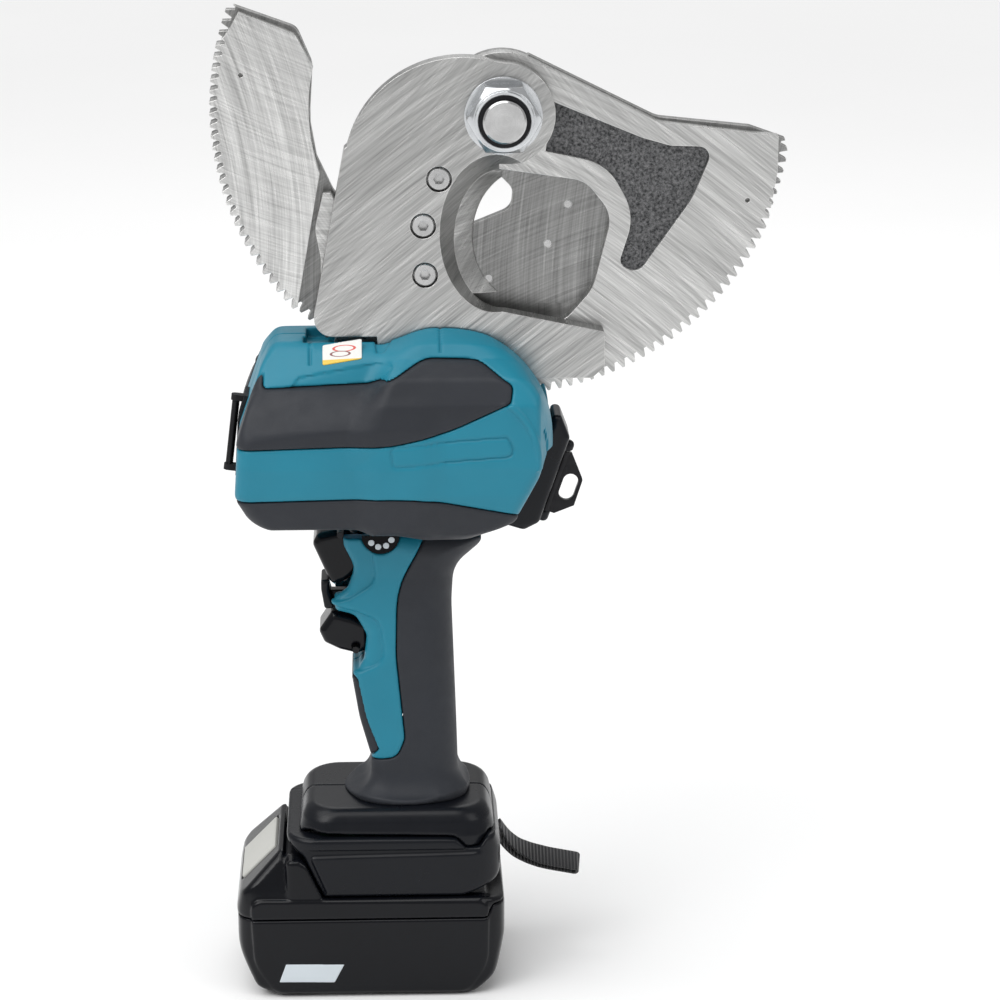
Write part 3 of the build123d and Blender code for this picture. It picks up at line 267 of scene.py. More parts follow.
def shape(name, space, field, body, slot, material, *nodes):
    points, quads = surface(space, field)
    return mesh_object(name, points, quads, body, slot, material, *nodes)


# ---------------------------------------------------------------- materials
class Recipe:
    """Node material under construction: one Principled shader fed by procedural nodes."""

    def __init__(self, name, colour, roughness, metallic=0.0, **sockets):
        self.material = bpy.data.materials.new(name)
        self.material.use_nodes = True
        self.tree = self.material.node_tree
        self.shader = self.tree.nodes["Principled BSDF"]
        self.shader.inputs["Base Color"].default_value = (*colour, 1.0)
        self.shader.inputs["Roughness"].default_value = roughness
        self.shader.inputs["Metallic"].default_value = metallic
        for key, value in sockets.items():
            self.shader.inputs[key.replace("_", " ")].default_value = value
        self.where = self.node("ShaderNodeTexCoord").outputs["Object"]

    def node(self, kind, settings=None, **inputs):
        """A new node; its inputs are given by name, or as i0, i1 and so on."""
        made = self.tree.nodes.new(kind)
        for key, value in (settings or {}).items():
            setattr(made, key, value)
        for key, value in inputs.items():
            numbered = key[0] == "i" and key[1:].isdigit()
            self.feed(made.inputs[int(key[1:]) if numbered else key.replace("_", " ")], value)
        return made

    def feed(self, socket, value):
        if isinstance(value, bpy.types.NodeSocket):
            self.tree.links.new(value, socket)
        else:
            socket.default_value = value

    def math(self, operation, a, b=0.0, clamp=False):
        return self.node("ShaderNodeMath", {"operation": operation, "use_clamp": clamp}, i0=a, i1=b).outputs[0]

    def vector_math(self, operation, a, b, output=0):
        return self.node("ShaderNodeVectorMath", {"operation": operation}, i0=a, i1=b).outputs[output]

    def noise(self, scale, detail=3.0, vector=None, roughness=0.55):
        return self.node("ShaderNodeTexNoise", Vector=vector or self.where, Scale=scale, Detail=detail,
                         Roughness=roughness).outputs[0]

    def spread(self, value, low, high, start=0.0, end=1.0):
        """A value rescaled from low..high to start..end and held there."""
        return self.node("ShaderNodeMapRange", i0=value, i1=low, i2=high, i3=start, i4=end).outputs[0]

    def mixed(self, share, a, b):
        made = self.node("ShaderNodeMix", {"data_type": "RGBA"})
        self.feed(made.inputs[0], share)
        self.feed(made.inputs[6], (*a, 1.0) if isinstance(a, tuple) else a)
        self.feed(made.inputs[7], (*b, 1.0) if isinstance(b, tuple) else b)
        return made.outputs[2]

    def colour(self, value):
        self.feed(self.shader.inputs["Base Color"], value)

    def rough(self, value):
        self.feed(self.shader.inputs["Roughness"], value)

    def bump(self, height, distance, strength=1.0, normal=None):
        made = self.node("ShaderNodeBump", Strength=strength, Distance=distance, Height=height)
        if normal is not None:
            self.feed(made.inputs["Normal"], normal)
        self.feed(self.shader.inputs["Normal"], made.outputs[0])
        return made.outputs[0]

    def soft_edges(self, radius):
        return self.node("ShaderNodeBevel", {"samples": 6}, Radius=radius * MM).outputs[0]

    def painted_edge_highlight(self, radius):
        """How far a surface point is on an edge, where the rounded normal leaves the flat one: the mask of a
        painted edge highlight.
        """
        flat = self.node("ShaderNodeNewGeometry").outputs["Normal"]
        agree = self.vector_math("DOT_PRODUCT", flat, self.soft_edges(radius), 1)
        return self.spread(agree, 0.80, 0.995, 1.0, 0.0)


def plastic(name, colour, roughness, grain=0.03, grain_scale=1500.0, shade=0.88, sheen=0.0, specular=0.35):
    """Moulded plastic: fine grain, slight tone variation and faint handling marks."""
    r = Recipe(name, colour, roughness, Sheen_Weight=sheen, Specular_IOR_Level=specular)
    darker = tuple(c * shade for c in colour)
    r.colour(r.mixed(r.spread(r.noise(22.0, 4.0), 0.35, 0.65), darker, colour))
    marks = r.noise(90.0, 6.0, roughness=0.7)
    r.rough(r.spread(marks, 0.3, 0.7, roughness * 0.86, min(1.0, roughness * 1.15)))
    r.bump(r.noise(grain_scale, 2.0), grain * MM, 0.6)
    return r.material


def turned(r, centre_x, centre_z, pitch):
    """Fine rings of a turned face around a y axis."""
    split = r.node("ShaderNodeSeparateXYZ", Vector=r.where).outputs
    u, v = r.math("SUBTRACT", split[0], centre_x * MM), r.math("SUBTRACT", split[2], centre_z * MM)
    radius = r.math("SQRT", r.math("ADD", r.math("MULTIPLY", u, u), r.math("MULTIPLY", v, v)))
    line = r.node("ShaderNodeCombineXYZ", X=radius, Y=r.math("MULTIPLY", split[1], 0.02))
    return r.noise(1000.0 / pitch, 2.0, line.outputs[0])


def arc_lines(r, centre, across, along):
    """Long fine scratches on arcs about a far centre in the x-z plane, in millimetres."""
    split = r.node("ShaderNodeSeparateXYZ", Vector=r.where).outputs
    u, v = r.math("SUBTRACT", split[0], centre[0] * MM), r.math("SUBTRACT", split[2], centre[1] * MM)
    radius = r.math("SQRT", r.math("ADD", r.math("MULTIPLY", u, u), r.math("MULTIPLY", v, v)))
    angle = r.math("ARCTAN2", v, u)
    line = r.node("ShaderNodeCombineXYZ", X=r.math("MULTIPLY", radius, across),
                  Y=r.math("MULTIPLY", angle, along), Z=r.math("MULTIPLY", split[1], 40.0))
    return r.noise(1.0, 3.0, line.outputs[0], 0.65)


def ground_steel(name, centres, tone=0.62, roughness=0.30, edge=0.5):
    """Plate steel ground in long sweeping strokes, with a painted highlight along its chamfered edges."""
    r = Recipe(name, (tone, tone, tone * 0.99), roughness, 1.0)
    first = arc_lines(r, centres[0], 1500.0, 8.0)
    second = arc_lines(r, centres[1], 1200.0, 7.0)
    third = arc_lines(r, centres[0], 380.0, 3.0)
    lines = r.math("ADD", r.math("MULTIPLY", first, 0.5), r.math("MULTIPLY", second, 0.5))
    tones = r.math("ADD", r.math("MULTIPLY", lines, 0.6), r.math("MULTIPLY", third, 0.4))
    cloud = r.noise(14.0, 4.0)
    dark, light, smudged = tone * 0.58, tone * 1.6, tone * 1.4
    base = r.mixed(r.spread(tones, 0.36, 0.64), (dark, dark, dark * 0.99), (light, light, light * 0.985))
    base = r.mixed(r.spread(cloud, 0.3, 0.75, 0.0, 0.3), base, (smudged, smudged, smudged * 0.99))
    # painted highlight: the colour is pushed towards near-white along the plate's edges
    edge_highlight = r.painted_edge_highlight(0.6)
    r.colour(r.mixed(r.math("MULTIPLY", edge_highlight, 0.6), base, (0.93, 0.93, 0.91)))
    r.rough(r.spread(lines, 0.35, 0.65, roughness * 1.35, roughness * 0.8))
    r.bump(lines, 0.02 * MM, 0.55, r.soft_edges(edge) if edge else None)
    return r


def machined(name, colour, roughness, centre=None, pitch=0.35, edge=0.35):
    """Turned or plated steel."""
    r = Recipe(name, colour, roughness, 1.0)
    rings = turned(r, *centre, pitch) if centre else r.noise(600.0, 4.0)
    smudge = r.noise(120.0, 4.0)
    dull = tuple(c * 0.8 for c in colour)
    r.colour(r.mixed(r.spread(smudge, 0.35, 0.7), dull, colour))
    r.rough(r.spread(rings, 0.3, 0.7, roughness * 0.8, roughness * 1.25))
    r.bump(rings, 0.012 * MM, 0.5, r.soft_edges(edge))
    return r.material


# centres of each plate's two sets of grinding arcs, its tone and its roughness. The cutting plate's low tone
# is painted shade where it lies recessed behind the front plates, and the front plate's tone, lower than the
# tip plate's, is painted shade from the fixed plate
PIVOT = (58.0, 383.5)
blade_left = ground_steel("steel_tip_plate", ((-260.0, 330.0), (60.0, 620.0)), 0.57)
# tone lowered as painted shade from the fixed plate
blade_right = ground_steel("steel_front_plate", ((-40.0, 120.0), (330.0, 600.0)), 0.49)
# low tone: painted shade of the recessed cutting plate
blade_cutting = ground_steel("steel_cutting_plate", ((420.0, 300.0), (200.0, 20.0)), 0.25, 0.34)
blade_fixed = ground_steel("steel_fixed_plate", ((260.0, 40.0), (-150.0, 560.0)), 0.40)
blade_insert = ground_steel("steel_insert", ((200.0, 200.0), (0.0, 560.0)), 0.37)


FRONT_PLATE_Y = -4.7            # front face of the moving front plate


def add_pocket_floor(r, front_y):
    """Dark sand-cast floor of the sunk panel, where the surface lies behind the plate's front face."""
    split = r.node("ShaderNodeSeparateXYZ", Vector=r.where).outputs
    normal = r.node("ShaderNodeNewGeometry").outputs["True Normal"]
    faces = r.spread(r.node("ShaderNodeSeparateXYZ", Vector=normal).outputs[1], -0.7, -0.5, 1.0, 0.0)
    behind = r.spread(split[1], (front_y + 1.2) * MM, (front_y + 1.5) * MM)
    before = r.spread(split[1], (front_y + 2.2) * MM, (front_y + 2.6) * MM, 1.0, 0.0)
    share = r.math("MULTIPLY", faces, r.math("MULTIPLY", behind, before))
    speckle = r.noise(750.0, 5.0, roughness=0.75)
    floor = r.mixed(r.spread(speckle, 0.38, 0.68), (0.045, 0.046, 0.048), (0.27, 0.27, 0.275))
    base = r.shader.inputs["Base Color"].links[0].from_socket
    r.colour(r.mixed(share, base, floor))
    rough = r.shader.inputs["Roughness"].links[0].from_socket
    r.rough(r.math("ADD", r.math("MULTIPLY", share, 0.28), rough))
    flat = r.shader.inputs["Normal"].links[0].from_socket
    r.bump(r.math("MULTIPLY", share, speckle), 0.25 * MM, 0.8, flat)


add_pocket_floor(blade_right, FRONT_PLATE_Y)

teal = plastic("teal_plastic", (0.010, 0.205, 0.30), 0.42, 0.03, 1700.0, 0.9)
rubber = plastic("black_rubber", (0.020, 0.023, 0.030), 0.56, 0.035, 1500.0, 0.82, sheen=0.04)
gloss_black = plastic("black_gloss", (0.0035, 0.004, 0.006), 0.20, 0.006, 900.0, 0.8, specular=0.24)
black_film = plastic("black_film", (0.002, 0.002, 0.003), 0.45, 0.004, 900.0, 0.8, specular=0.12)
satin_black = plastic("black_satin", (0.005, 0.006, 0.009), 0.30, 0.015, 1700.0, 0.85, specular=0.24)
matte_black = plastic("black_matte", (0.012, 0.012, 0.014), 0.62, 0.03, 1500.0, 0.8, specular=0.25)
pale_print = plastic("pale_print", (0.62, 0.68, 0.72), 0.4, 0.004, 900.0, 0.96)


LABEL_X = -9.6
LABEL_MIDDLE = (-22.1, 285.4)   # (y, z)
LABEL_HALF = (8.25, 4.9)
LABEL_HALF_T = 0.3
LABEL_RINGS = ((1.0, 5.2, 1.7, (0.62, 0.07, 0.05)), (-1.0, 4.6, 1.5, (0.2, 0.05, 0.05)))


def printed_label(centre, slope):
    """White film with two plain rings and a yellow lower edge, on a panel that slopes towards -Y."""
    r = Recipe("label_film", (0.75, 0.75, 0.72), 0.3)
    split = r.node("ShaderNodeSeparateXYZ", Vector=r.where).outputs
    along = r.math("MULTIPLY", r.math("SUBTRACT", split[1], centre[0] * MM), np.cos(slope))
    rise = r.math("MULTIPLY", r.math("SUBTRACT", split[2], centre[1] * MM), np.sin(slope))
    up = r.math("ADD", along, rise)
    yellow = r.spread(up, -3.6 * MM, -3.4 * MM, 1.0, 0.0)
    base = r.mixed(yellow, (0.74, 0.74, 0.71), (0.75, 0.50, 0.05))
    aside = r.math("SUBTRACT", split[0], LABEL_X * MM)
    for place, half_u, half_v, ink in LABEL_RINGS:
        u = r.math("DIVIDE", r.math("SUBTRACT", aside, 0.8 * place * MM), half_u * MM)
        v = r.math("DIVIDE", r.math("SUBTRACT", up, (0.4 + 1.3 * place) * MM), half_v * MM)
        off = r.math("SQRT", r.math("ADD", r.math("MULTIPLY", u, u), r.math("MULTIPLY", v, v)))
        ring = r.math("ABSOLUTE", r.math("SUBTRACT", off, 0.85))
        base = r.mixed(r.spread(ring, 0.09, 0.13, 1.0, 0.0), base, ink)
    r.colour(base)
    return r.material


RIB_PITCH = 1.5
THREAD_PITCH = 0.7


def webbing():
    """Woven nylon tape: ribs across the tape, with threads along it."""
    r = Recipe("webbing", (0.012, 0.012, 0.014), 0.75, Sheen_Weight=0.25)
    split = r.node("ShaderNodeSeparateXYZ", Vector=r.where).outputs
    ribs = r.math("SINE", r.math("MULTIPLY", split[0], 2.0 * math.pi / (RIB_PITCH * MM)))
    threads = r.math("SINE", r.math("MULTIPLY", split[1], 2.0 * math.pi / (THREAD_PITCH * MM)))
    weave = r.math("MULTIPLY", ribs, threads)
    r.colour(r.mixed(r.spread(weave, -1.0, 1.0), (0.004, 0.004, 0.005), (0.035, 0.035, 0.039)))
    r.bump(ribs, 0.5 * MM, 1.0)
    return r.material


label_film = printed_label(LABEL_MIDDLE, np.radians(45.0))
tape = webbing()
grey_button = plastic("button_grey", (0.52, 0.52, 0.49), 0.45, 0.02, 1500.0, 0.93)
bolt_steel = machined("bolt_steel", (0.66, 0.66, 0.66), 0.22, PIVOT, 0.5)
zinc = machined("zinc_steel", (0.74, 0.76, 0.78), 0.16, PIVOT, 1.2, 0.5)
black_oxide = machined("black_steel", (0.03, 0.03, 0.032), 0.38)
screw_steel = machined("screw_steel", (0.60, 0.60, 0.60), 0.26, None, 0.4, 0.3)
gear_steel = machined("gear_steel", (0.45, 0.45, 0.44), 0.3)
motor_steel = machined("motor_steel", (0.5, 0.5, 0.5), 0.3)
milled = machined("aluminium_plate", (0.68, 0.68, 0.69), 0.34)
brass = machined("contact_brass", (0.72, 0.50, 0.20), 0.28)
board_green = plastic("board_green", (0.02, 0.12, 0.05), 0.35, 0.01, 700.0)
cell_blue = plastic("cell_wrap", (0.03, 0.12, 0.3), 0.25, 0.004, 500.0)
lead_red = plastic("lead_red", (0.35, 0.02, 0.015), 0.4, 0.01, 900.0)


def finish_cad(names, material):
    """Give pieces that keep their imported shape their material."""
    for name in names:
        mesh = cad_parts[name].data
        mesh.materials.clear()
        mesh.materials.append(material)


finish_cad(["blade_tip_plate"], blade_left.material)
finish_cad(["blade_front_plate"], blade_right.material)
finish_cad(["blade_cutting_plate"], blade_cutting.material)
finish_cad(["fixed_blade_plate"], blade_fixed.material)
finish_cad(["fixed_blade_insert"], blade_insert.material)
finish_cad(["pivot_bolt"], bolt_steel)
finish_cad(["pivot_nut", "pivot_washers"], zinc)
finish_cad(["insert_screws", "blade_rivets", "strap_pins"], screw_steel)
finish_cad(["trigger_pins", "trigger_springs"], black_oxide)
finish_cad(["retaining_ring", "strap_ring_right", "strap_ring_left", "housing_screws"], black_oxide)
finish_cad(["drive_pinion", "drive_gear", "layshaft", "rotor", "bearings"], gear_steel)
finish_cad(["motor_can", "frame_bolts"], motor_steel)
finish_cad(["frame_plates"], milled)
finish_cad(["terminal_contacts", "blade_bushing"], brass)
finish_cad(["control_board", "battery_board"], board_green)
finish_cad(["battery_cells"], cell_blue)
finish_cad(["power_leads"], lead_red)
finish_cad(["blade_wear_pad", "terminal_block", "switch_upper", "switch_lower"], matte_black)
finish_cad(["fan", "strap_anchor"], matte_black)
finish_cad(["indicator_disc"], black_film)


# ---------------------------------------------------------------- housing, in millimetres
FINE = 0.7
HALF_DEPTH = 47.5
WALL = 3.4
SEAM = 0.18                     # half of the gap where two pieces meet
DOME = (30.0, 246.5)
DOME_R = 49.0
SLOT_Y = (-14.6, 9.7)
LEFT_SIDE = [(-38.0, 290.0, 6), (12.0, 290.5), (26.0, 291.0), (26.0, 210.0), (-42.0, 209.8, 6),
             (-50.0, 219.0, 5), (-55.0, 228.0, 5), (-53.4, 252.0, 6), (-44.0, 279.0, 6)]
LEFT_END = [(14.0, 290.0), (26.0, 284.0, 2), (31.0, 272.5, 1), (44.0, 267.0, 3), (HALF_DEPTH, 258.0, 4),
            (HALF_DEPTH, 241.0, 1), (45.9, 229.0, 6), (42.0, 214.0, 5), (32.0, 209.5, 5)]
DOME_END = [(12.0, 297.0), (27.0, 289.5, 2), (31.0, 284.5, 1), (43.0, 278.5, 4), (HALF_DEPTH, 268.0, 4),
            (HALF_DEPTH, 241.5, 1), (45.9, 229.0, 6), (42.0, 212.0, 6), (32.0, 204.5, 6)]
LOWER_RIGHT = [(2.0, 262.0), (62.0, 262.0), (78.4, 248.6, 2), (62.0, 216.0, 6), (42.0, 205.0, 12),
               (24.0, 204.6, 10), (12.0, 210.0, 10), (2.0, 210.0)]
UPPER_BUMPER = [(-60.0, 249.5), (10.0, 251.5, 60), (34.0, 257.0, 60), (60.0, 269.0, 2), (61.0, 275.6, 3),
                (47.0, 283.9, 14), (25.0, 284.6, 16), (9.0, 277.0, 10), (1.0, 273.6, 10), (-42.8, 271.8, 1.5),
                (-42.3, 284.0), (-39.8, 295.0), (-60.0, 295.0)]
LOWER_BUMPER = [(-60.0, 226.6), (20.0, 228.4, 90), (61.0, 220.2), (72.0, 214.0), (72.0, 200.0),
                (-60.0, 200.0)]
NAME_PAD = [(10.3, 251.2, 2), (58.8, 254.6, 2), (62.5, 246.4, 3), (11.1, 242.6, 2)]
TOP_PANEL = [(-31.5, 272.0), (-27.5, 276.2, 2), (6.3, 281.9, 2), (13.0, 282.6, 1), (5.3, 275.5, 3),
             (-2.0, 273.6)]
TOP_SEAMS = ((-23.0, 15.0, 24.5), (31.4, 15.0, 29.0))    # (x, nearest and farthest from the middle)
TOP_SLOPE = (-0.0940, 0.7057, 0.7025)                    # direction that the top slope faces
SLOPE_AT = (13.0, 26.0, 284.5)
RIM_CENTRE, RIM_R = (38.3, 242.1), 33.9
LINE_CENTRE, LINE_R = (37.1, 243.9), 38.4
FREE_SIDE_X = 79.2
BOSSES = [(-45.0, 266.0), (-45.0, 226.0), (-8.0, 214.5), (58.5, 222.0), (70.0, 250.0)]
BOSS_HOLE_R = 3.4
SWEEP_R = 123.8
PLATE_ROOM = [(-26.0, 233.0), (-26.0, 410.0), (118.0, 410.0), (118.0, 277.0), (60.0, 277.0),
              (60.0, 233.0)]
SPINE_SIDE = [(79.2, 254.2, 2), (82.8, 253.8, 2), (86.6, 243.8, 2), (73.6, 206.4, 3), (67.0, 203.0, 3),
              (57.5, 206.0), (62.2, 216.4), (69.0, 231.0), (78.4, 250.0)]
SPINE_HALF = 11.0


def housing_body(s):
    """Outer form: a box with a sloping top on the closed side, and a dome on the free side."""
    depth = abs(s.y)
    left = meet(s.side(LEFT_SIDE), s.end(LEFT_END), 6.0)
    disc = meet(s.rod(DOME, DOME_R), 244.0 - s.z)
    # the top slope rises from the closed end towards the dome
    slope = sum(n * (at - start) for n, at, start in zip(TOP_SLOPE, (s.x, depth, s.z), SLOPE_AT))
    left = meet(left, slope, 1.5)
    shoulder = (6.0 - s.x) * 0.9 + (s.z - 275.0) * 0.35
    dome = meet(join(meet(disc, shoulder, 16.0), s.side(LOWER_RIGHT)), s.end(DOME_END), 5.0)
    # seen from above, the free side narrows towards both faces
    dome = meet(dome, s.x - FREE_SIDE_X + 0.31 * np.maximum(depth - 24.0, 0.0), 2.0)
    return join(left, dome, 9.0)


def housing_details(s, body):
    """Lines, rim, panel and seams of the housing's skin."""
    depth = abs(s.y)
    pad = s.side(NAME_PAD)
    body = cut(body, np.maximum(np.maximum(abs(pad) - 0.35, -(body + 0.8)), 40.0 - depth), 0.2)
    # raised rim along the edge of the side face, and a fine line outside it
    from_rim = np.hypot(s.x - RIM_CENTRE[0], s.z - RIM_CENTRE[1]) - RIM_R
    free_side = np.maximum(np.maximum(37.0 - depth, 240.0 - s.z), np.maximum(s.z - 268.5, 50.0 - s.x))
    rim = np.maximum(meet(abs(from_rim) - 1.2, body - 1.2, 0.7), free_side)
    from_line = np.hypot(s.x - LINE_CENTRE[0], s.z - LINE_CENTRE[1]) - LINE_R
    faces = np.maximum(26.0 - depth, depth - 41.0)
    line = np.maximum(np.maximum(abs(from_line) - 0.35, -(body + 0.8)), faces)
    body = cut(body, np.maximum(line, np.maximum(244.0 - s.z, 50.0 - s.x)), 0.2)
    body = join(body, rim, 0.9)
    panel = s.side(TOP_PANEL)
    body = cut(body, np.maximum(meet(panel, -(body + 0.9)), 24.0 - depth), 0.3)
    for x, low, high in TOP_SEAMS:
        line = np.maximum(abs(s.x - x) - 0.42, np.maximum(low - depth, depth - high))
        line = np.maximum(line, -(body + 0.9))
        body = cut(body, np.maximum(line, 272.0 - s.z))
    # small wedge-shaped notch beside the dome
    slant = np.maximum(4.0 + (depth - 15.0) * 0.1 - s.x, s.x - 11.0 + (depth - 15.0) * 0.35)
    return cut(body, np.maximum(np.maximum(slant, abs(depth - 19.0) - 4.0), -(body + 1.6)), 0.6)


def housing_openings(s, body):
    """Room for the fixed plate, the blade's sweep, the handle and the spine."""
    sweep = np.maximum(s.rod(PIVOT, SWEEP_R), s.slab(1, -5.4, SLOT_Y[1]))
    plate = np.maximum(s.side(PLATE_ROOM), s.slab(1, SLOT_Y[0], -5.0))
    mouth = s.box((48.0, 95.0), SLOT_Y, (254.5, 320.0))
    top = s.box((-25.0, 95.0), SLOT_Y, (284.0, 320.0))
    slot = join(join(sweep, plate), join(mouth, top))
    neck = s.box((-30.0, 60.0), (-20.5, 20.5), (196.0, 206.8))
    spine = meet(s.side(SPINE_SIDE) - 0.4, abs(s.y) - SPINE_HALF - 0.5)
    return cut(cut(cut(body, slot, 0.7), neck, 0.8), spine, 0.6)


def make_housing():
    """Two teal half shells, with rubber skins over their upper and lower corners."""
    s = Space((-58, -50, 202), (82, 50, 298), FINE)
    depth = abs(s.y)
    body = housing_openings(s, housing_details(s, housing_body(s)))
    upper = np.maximum(s.side(UPPER_BUMPER), 25.0 - depth)
    upper = np.maximum(upper, 248.0 - s.z)
    lower = np.maximum(s.side(LOWER_BUMPER), 20.0 - depth)
    skins = {"upper": upper, "lower": lower}
    plain = np.maximum(body, -(body + WALL))
    for region in skins.values():
        plain = cut(plain, region - SEAM, 0.7)
    back_holes = np.minimum.reduce([s.rod(spot, BOSS_HOLE_R) for spot in BOSSES])
    back_holes = np.maximum(back_holes, 39.5 - s.y)
    for half, sign in (("front", -1.0), ("back", 1.0)):
        keep = SEAM * 0.8 - sign * s.y
        field = meet(plain, keep, 0.5)
        if sign > 0:
            field = cut(field, back_holes, 0.4)
        shape(f"shell_{half}", s, field, "tool", "teal_plastic", teal, f"housing_{half}")
        for level, region in skins.items():
            skin = meet(np.maximum(body - 0.35, -(body + WALL)), region + SEAM, 0.9)
            skin = meet(skin, keep, 0.5)
            if sign > 0:
                skin = cut(skin, back_holes, 0.4)
            shape(f"bumper_{level}_{half}_skin", s, skin, "tool", "black_rubber", rubber,
                  f"bumper_{level}_{half}")


RING_AXIS = ((76.4, 209.0), (85.75, 235.9))


def make_spine():
    """Dark spine on the free side, with the two lugs of the strap ring's hinge."""
    s = Space((56, -12, 201), (90, 12, 256), 0.6)
    body = meet(s.side(SPINE_SIDE), abs(s.y) - SPINE_HALF, 2.6)
    for end, step in ((RING_AXIS[0], -2.4), (RING_AXIS[1], 2.4)):
        start = (end[0] + step * 0.02, 0.0, end[1] + step * 0.05)
        stop = (end[0] + step * 0.33, 0.0, end[1] + step * 0.94)
        body = join(body, s.capsule(start, stop, 2.4), 1.0)
    axis = s.capsule((RING_AXIS[0][0], 0, RING_AXIS[0][1]), (RING_AXIS[1][0], 0, RING_AXIS[1][1]), 2.75)
    ends = np.maximum(209.2 - s.z, s.z - 235.7)
    body = cut(body, np.maximum(axis, ends), 0.3)
    shape("spine", s, body, "tool", "dark_plastic", satin_black, "side_spine")


# ---------------------------------------------------------------- handle and triggers
GRIP_HALF = 19.0
TRIGGER_HALF = 11.0
HANDLE_SIDE = [(-12.0, 206.0), (-11.6, 199.0, 3), (-7.0, 189.0, 8), (-9.8, 180.4, 3), (-16.0, 175.8, 3.6),
               (-15.4, 168.6, 3.6), (-6.5, 166.4, 5), (-2.2, 158.0, 5), (-3.4, 148.0, 3), (-7.2, 141.0, 4),
               (-4.0, 121.0, 60), (0.6, 104.0, 8), (1.6, 80.0), (38.6, 80.0), (37.4, 121.0, 80),
               (35.6, 172.0, 60), (36.6, 188.0, 16), (52.0, 202.0, 12), (60.0, 206.0)]
HANDLE_END = [(18.6, 80.0), (GRIP_HALF, 120.0, 60), (GRIP_HALF, 185.0, 30), (22.0, 206.4)]
GRIP_AREA = [(26.5, 207.0), (12.5, 180.0, 40), (11.8, 150.0, 60), (15.4, 112.0, 8), (12.0, 103.4, 6),
             (-14.0, 100.0), (-20.0, 80.0), (70.0, 80.0), (70.0, 207.0)]
PAD_AREA = [(-12.0, 141.6), (-6.6, 140.6), (-0.6, 136.0, 3), (5.0, 108.0, 4), (1.0, 103.6), (-12.0, 103.6)]
PAD_HALF = 17.6
HANDLE_Z = (84.15, 204.4)
COLLAR_CENTRE_X, COLLAR_HALF = 15.6, (26.4, 25.6)        # elliptical foot of the handle
DISC_SPOT = (5.6, 204.5)
DISC_R = 8.0
UPPER_TRIGGER = [(-14.4, 203.6, 2), (-21.5, 202.0, 3), (-23.6, 197.8, 3), (-15.6, 179.2, 3),
                 (-10.2, 180.6, 3),
                 (-2.0, 186.0, 2), (-4.0, 200.0), (-9.0, 204.3, 2)]
LOWER_TRIGGER = [(-15.4, 167.6, 2), (-21.4, 158.6, 2.5), (-19.0, 153.2, 2.5), (-12.5, 149.9, 4),
                 (-5.0, 147.9, 2),
                 (1.4, 150.5, 2), (0.4, 162.0, 3), (-6.4, 165.0, 3)]


def make_handle():
    """Two teal half shells with a rubber grip round the back and a rubber pad under the triggers."""
    s = Space((-18, -30, 83), (62, 30, 208), 0.75)
    depth = abs(s.y)
    side, end = s.side(HANDLE_SIDE), s.end(HANDLE_END)
    # tighter edges on the trigger side than on the palm side
    body = meet(side, end, np.interp(s.x, [-4.0, 24.0], [4.5, 12.0]))
    collar = np.hypot((s.x - COLLAR_CENTRE_X) / COLLAR_HALF[0], s.y / COLLAR_HALF[1]) * 26.0 - 26.0
    body = join(body, np.maximum(collar, s.z - 85.0), 12.0)
    body = np.maximum(body, np.maximum(HANDLE_Z[0] - s.z, s.z - HANDLE_Z[1]))
    # stepped recess round each trigger
    for outline in (UPPER_TRIGGER, LOWER_TRIGGER):
        body = cut(body, meet(s.side(outline) - 5.2, -(body + 1.5), 0.3), 1.3)
    shell = np.maximum(body, -(body + 2.8))
    grip, pad = s.side(GRIP_AREA), np.maximum(s.side(PAD_AREA), depth - PAD_HALF)
    disc = np.maximum(s.rod(DISC_SPOT, DISC_R + 0.2), s.y + 18.0)
    plain = cut(shell, grip - SEAM, 0.6)
    plain = cut(plain, pad - SEAM, 0.6)
    # room for the lower trigger, the upper trigger, the lock slider and its tongue
    across = (-TRIGGER_HALF - 0.5, TRIGGER_HALF + 0.5)
    holes = [s.box((-30, 4.6), across, (145.0, 173.0)), s.box((-30, 4.6), across, (175.6, 206.2)),
             s.box((-25, -14.4), (-12.4, 12.4), (166.0, 182.6)),
             s.box((-15, -8.2), (-6.4, 6.4), (168.0, 175.6))]
    plain = cut(plain, np.minimum.reduce(holes), 0.7)
    plain = cut(plain, disc, 0.3)
    rubber_skin = meet(np.maximum(body - 0.3, -(body + 2.4)), grip + SEAM, 0.8)
    pad_skin = meet(np.maximum(body - 0.3, -(body + 2.4)), pad + SEAM, 0.8)
    for half, sign in (("front", -1.0), ("back", 1.0)):
        field = meet(plain, SEAM * 0.8 - sign * s.y, 0.4)
        shape(f"handle_{half}_shell", s, field, "tool", "teal_plastic", teal, f"handle_{half}")
    shape("grip", s, np.maximum(rubber_skin, 84.1 - s.z), "tool", "black_rubber", rubber, "grip_rubber")
    shape("finger_rest", s, pad_skin, "tool", "black_rubber", rubber, "finger_pad")


UPPER_PIN = (-11.5, 203.2)
LOWER_PIN = (-5.5, 151.5)
PIN_BORE_R = 1.6


def make_triggers():
    """Two triggers, bored for their pins, and the lock slider between them."""
    s = Space((-25, -12, 146), (4, 12, 206), 0.55)
    for name, outline, pin in (("upper", UPPER_TRIGGER, UPPER_PIN), ("lower", LOWER_TRIGGER, LOWER_PIN)):
        field = cut(meet(s.side(outline), abs(s.y) - TRIGGER_HALF, 3.4), s.rod(pin, PIN_BORE_R))
        shape(f"{name}_trigger", s, field, f"trigger_{name}", "black_plastic", gloss_black,
              f"trigger_{name}")
    lever = s.side([(-20.2, 181.0, 1), (-20.2, 176.8, 1), (-18.8, 168.2, 1), (-14.9, 168.2), (-14.9, 170.0),
                    (-16.6, 175.8), (-16.6, 181.4)])
    lever = join(meet(lever, abs(s.y) - 9.0, 1.4), s.box((-16.7, -8.8), (-3.0, 3.0), (170.6, 174.8)), 0.6)
    shape("lock_lever", s, lever, "lock_slider", "black_plastic", satin_black, "lock_slider")


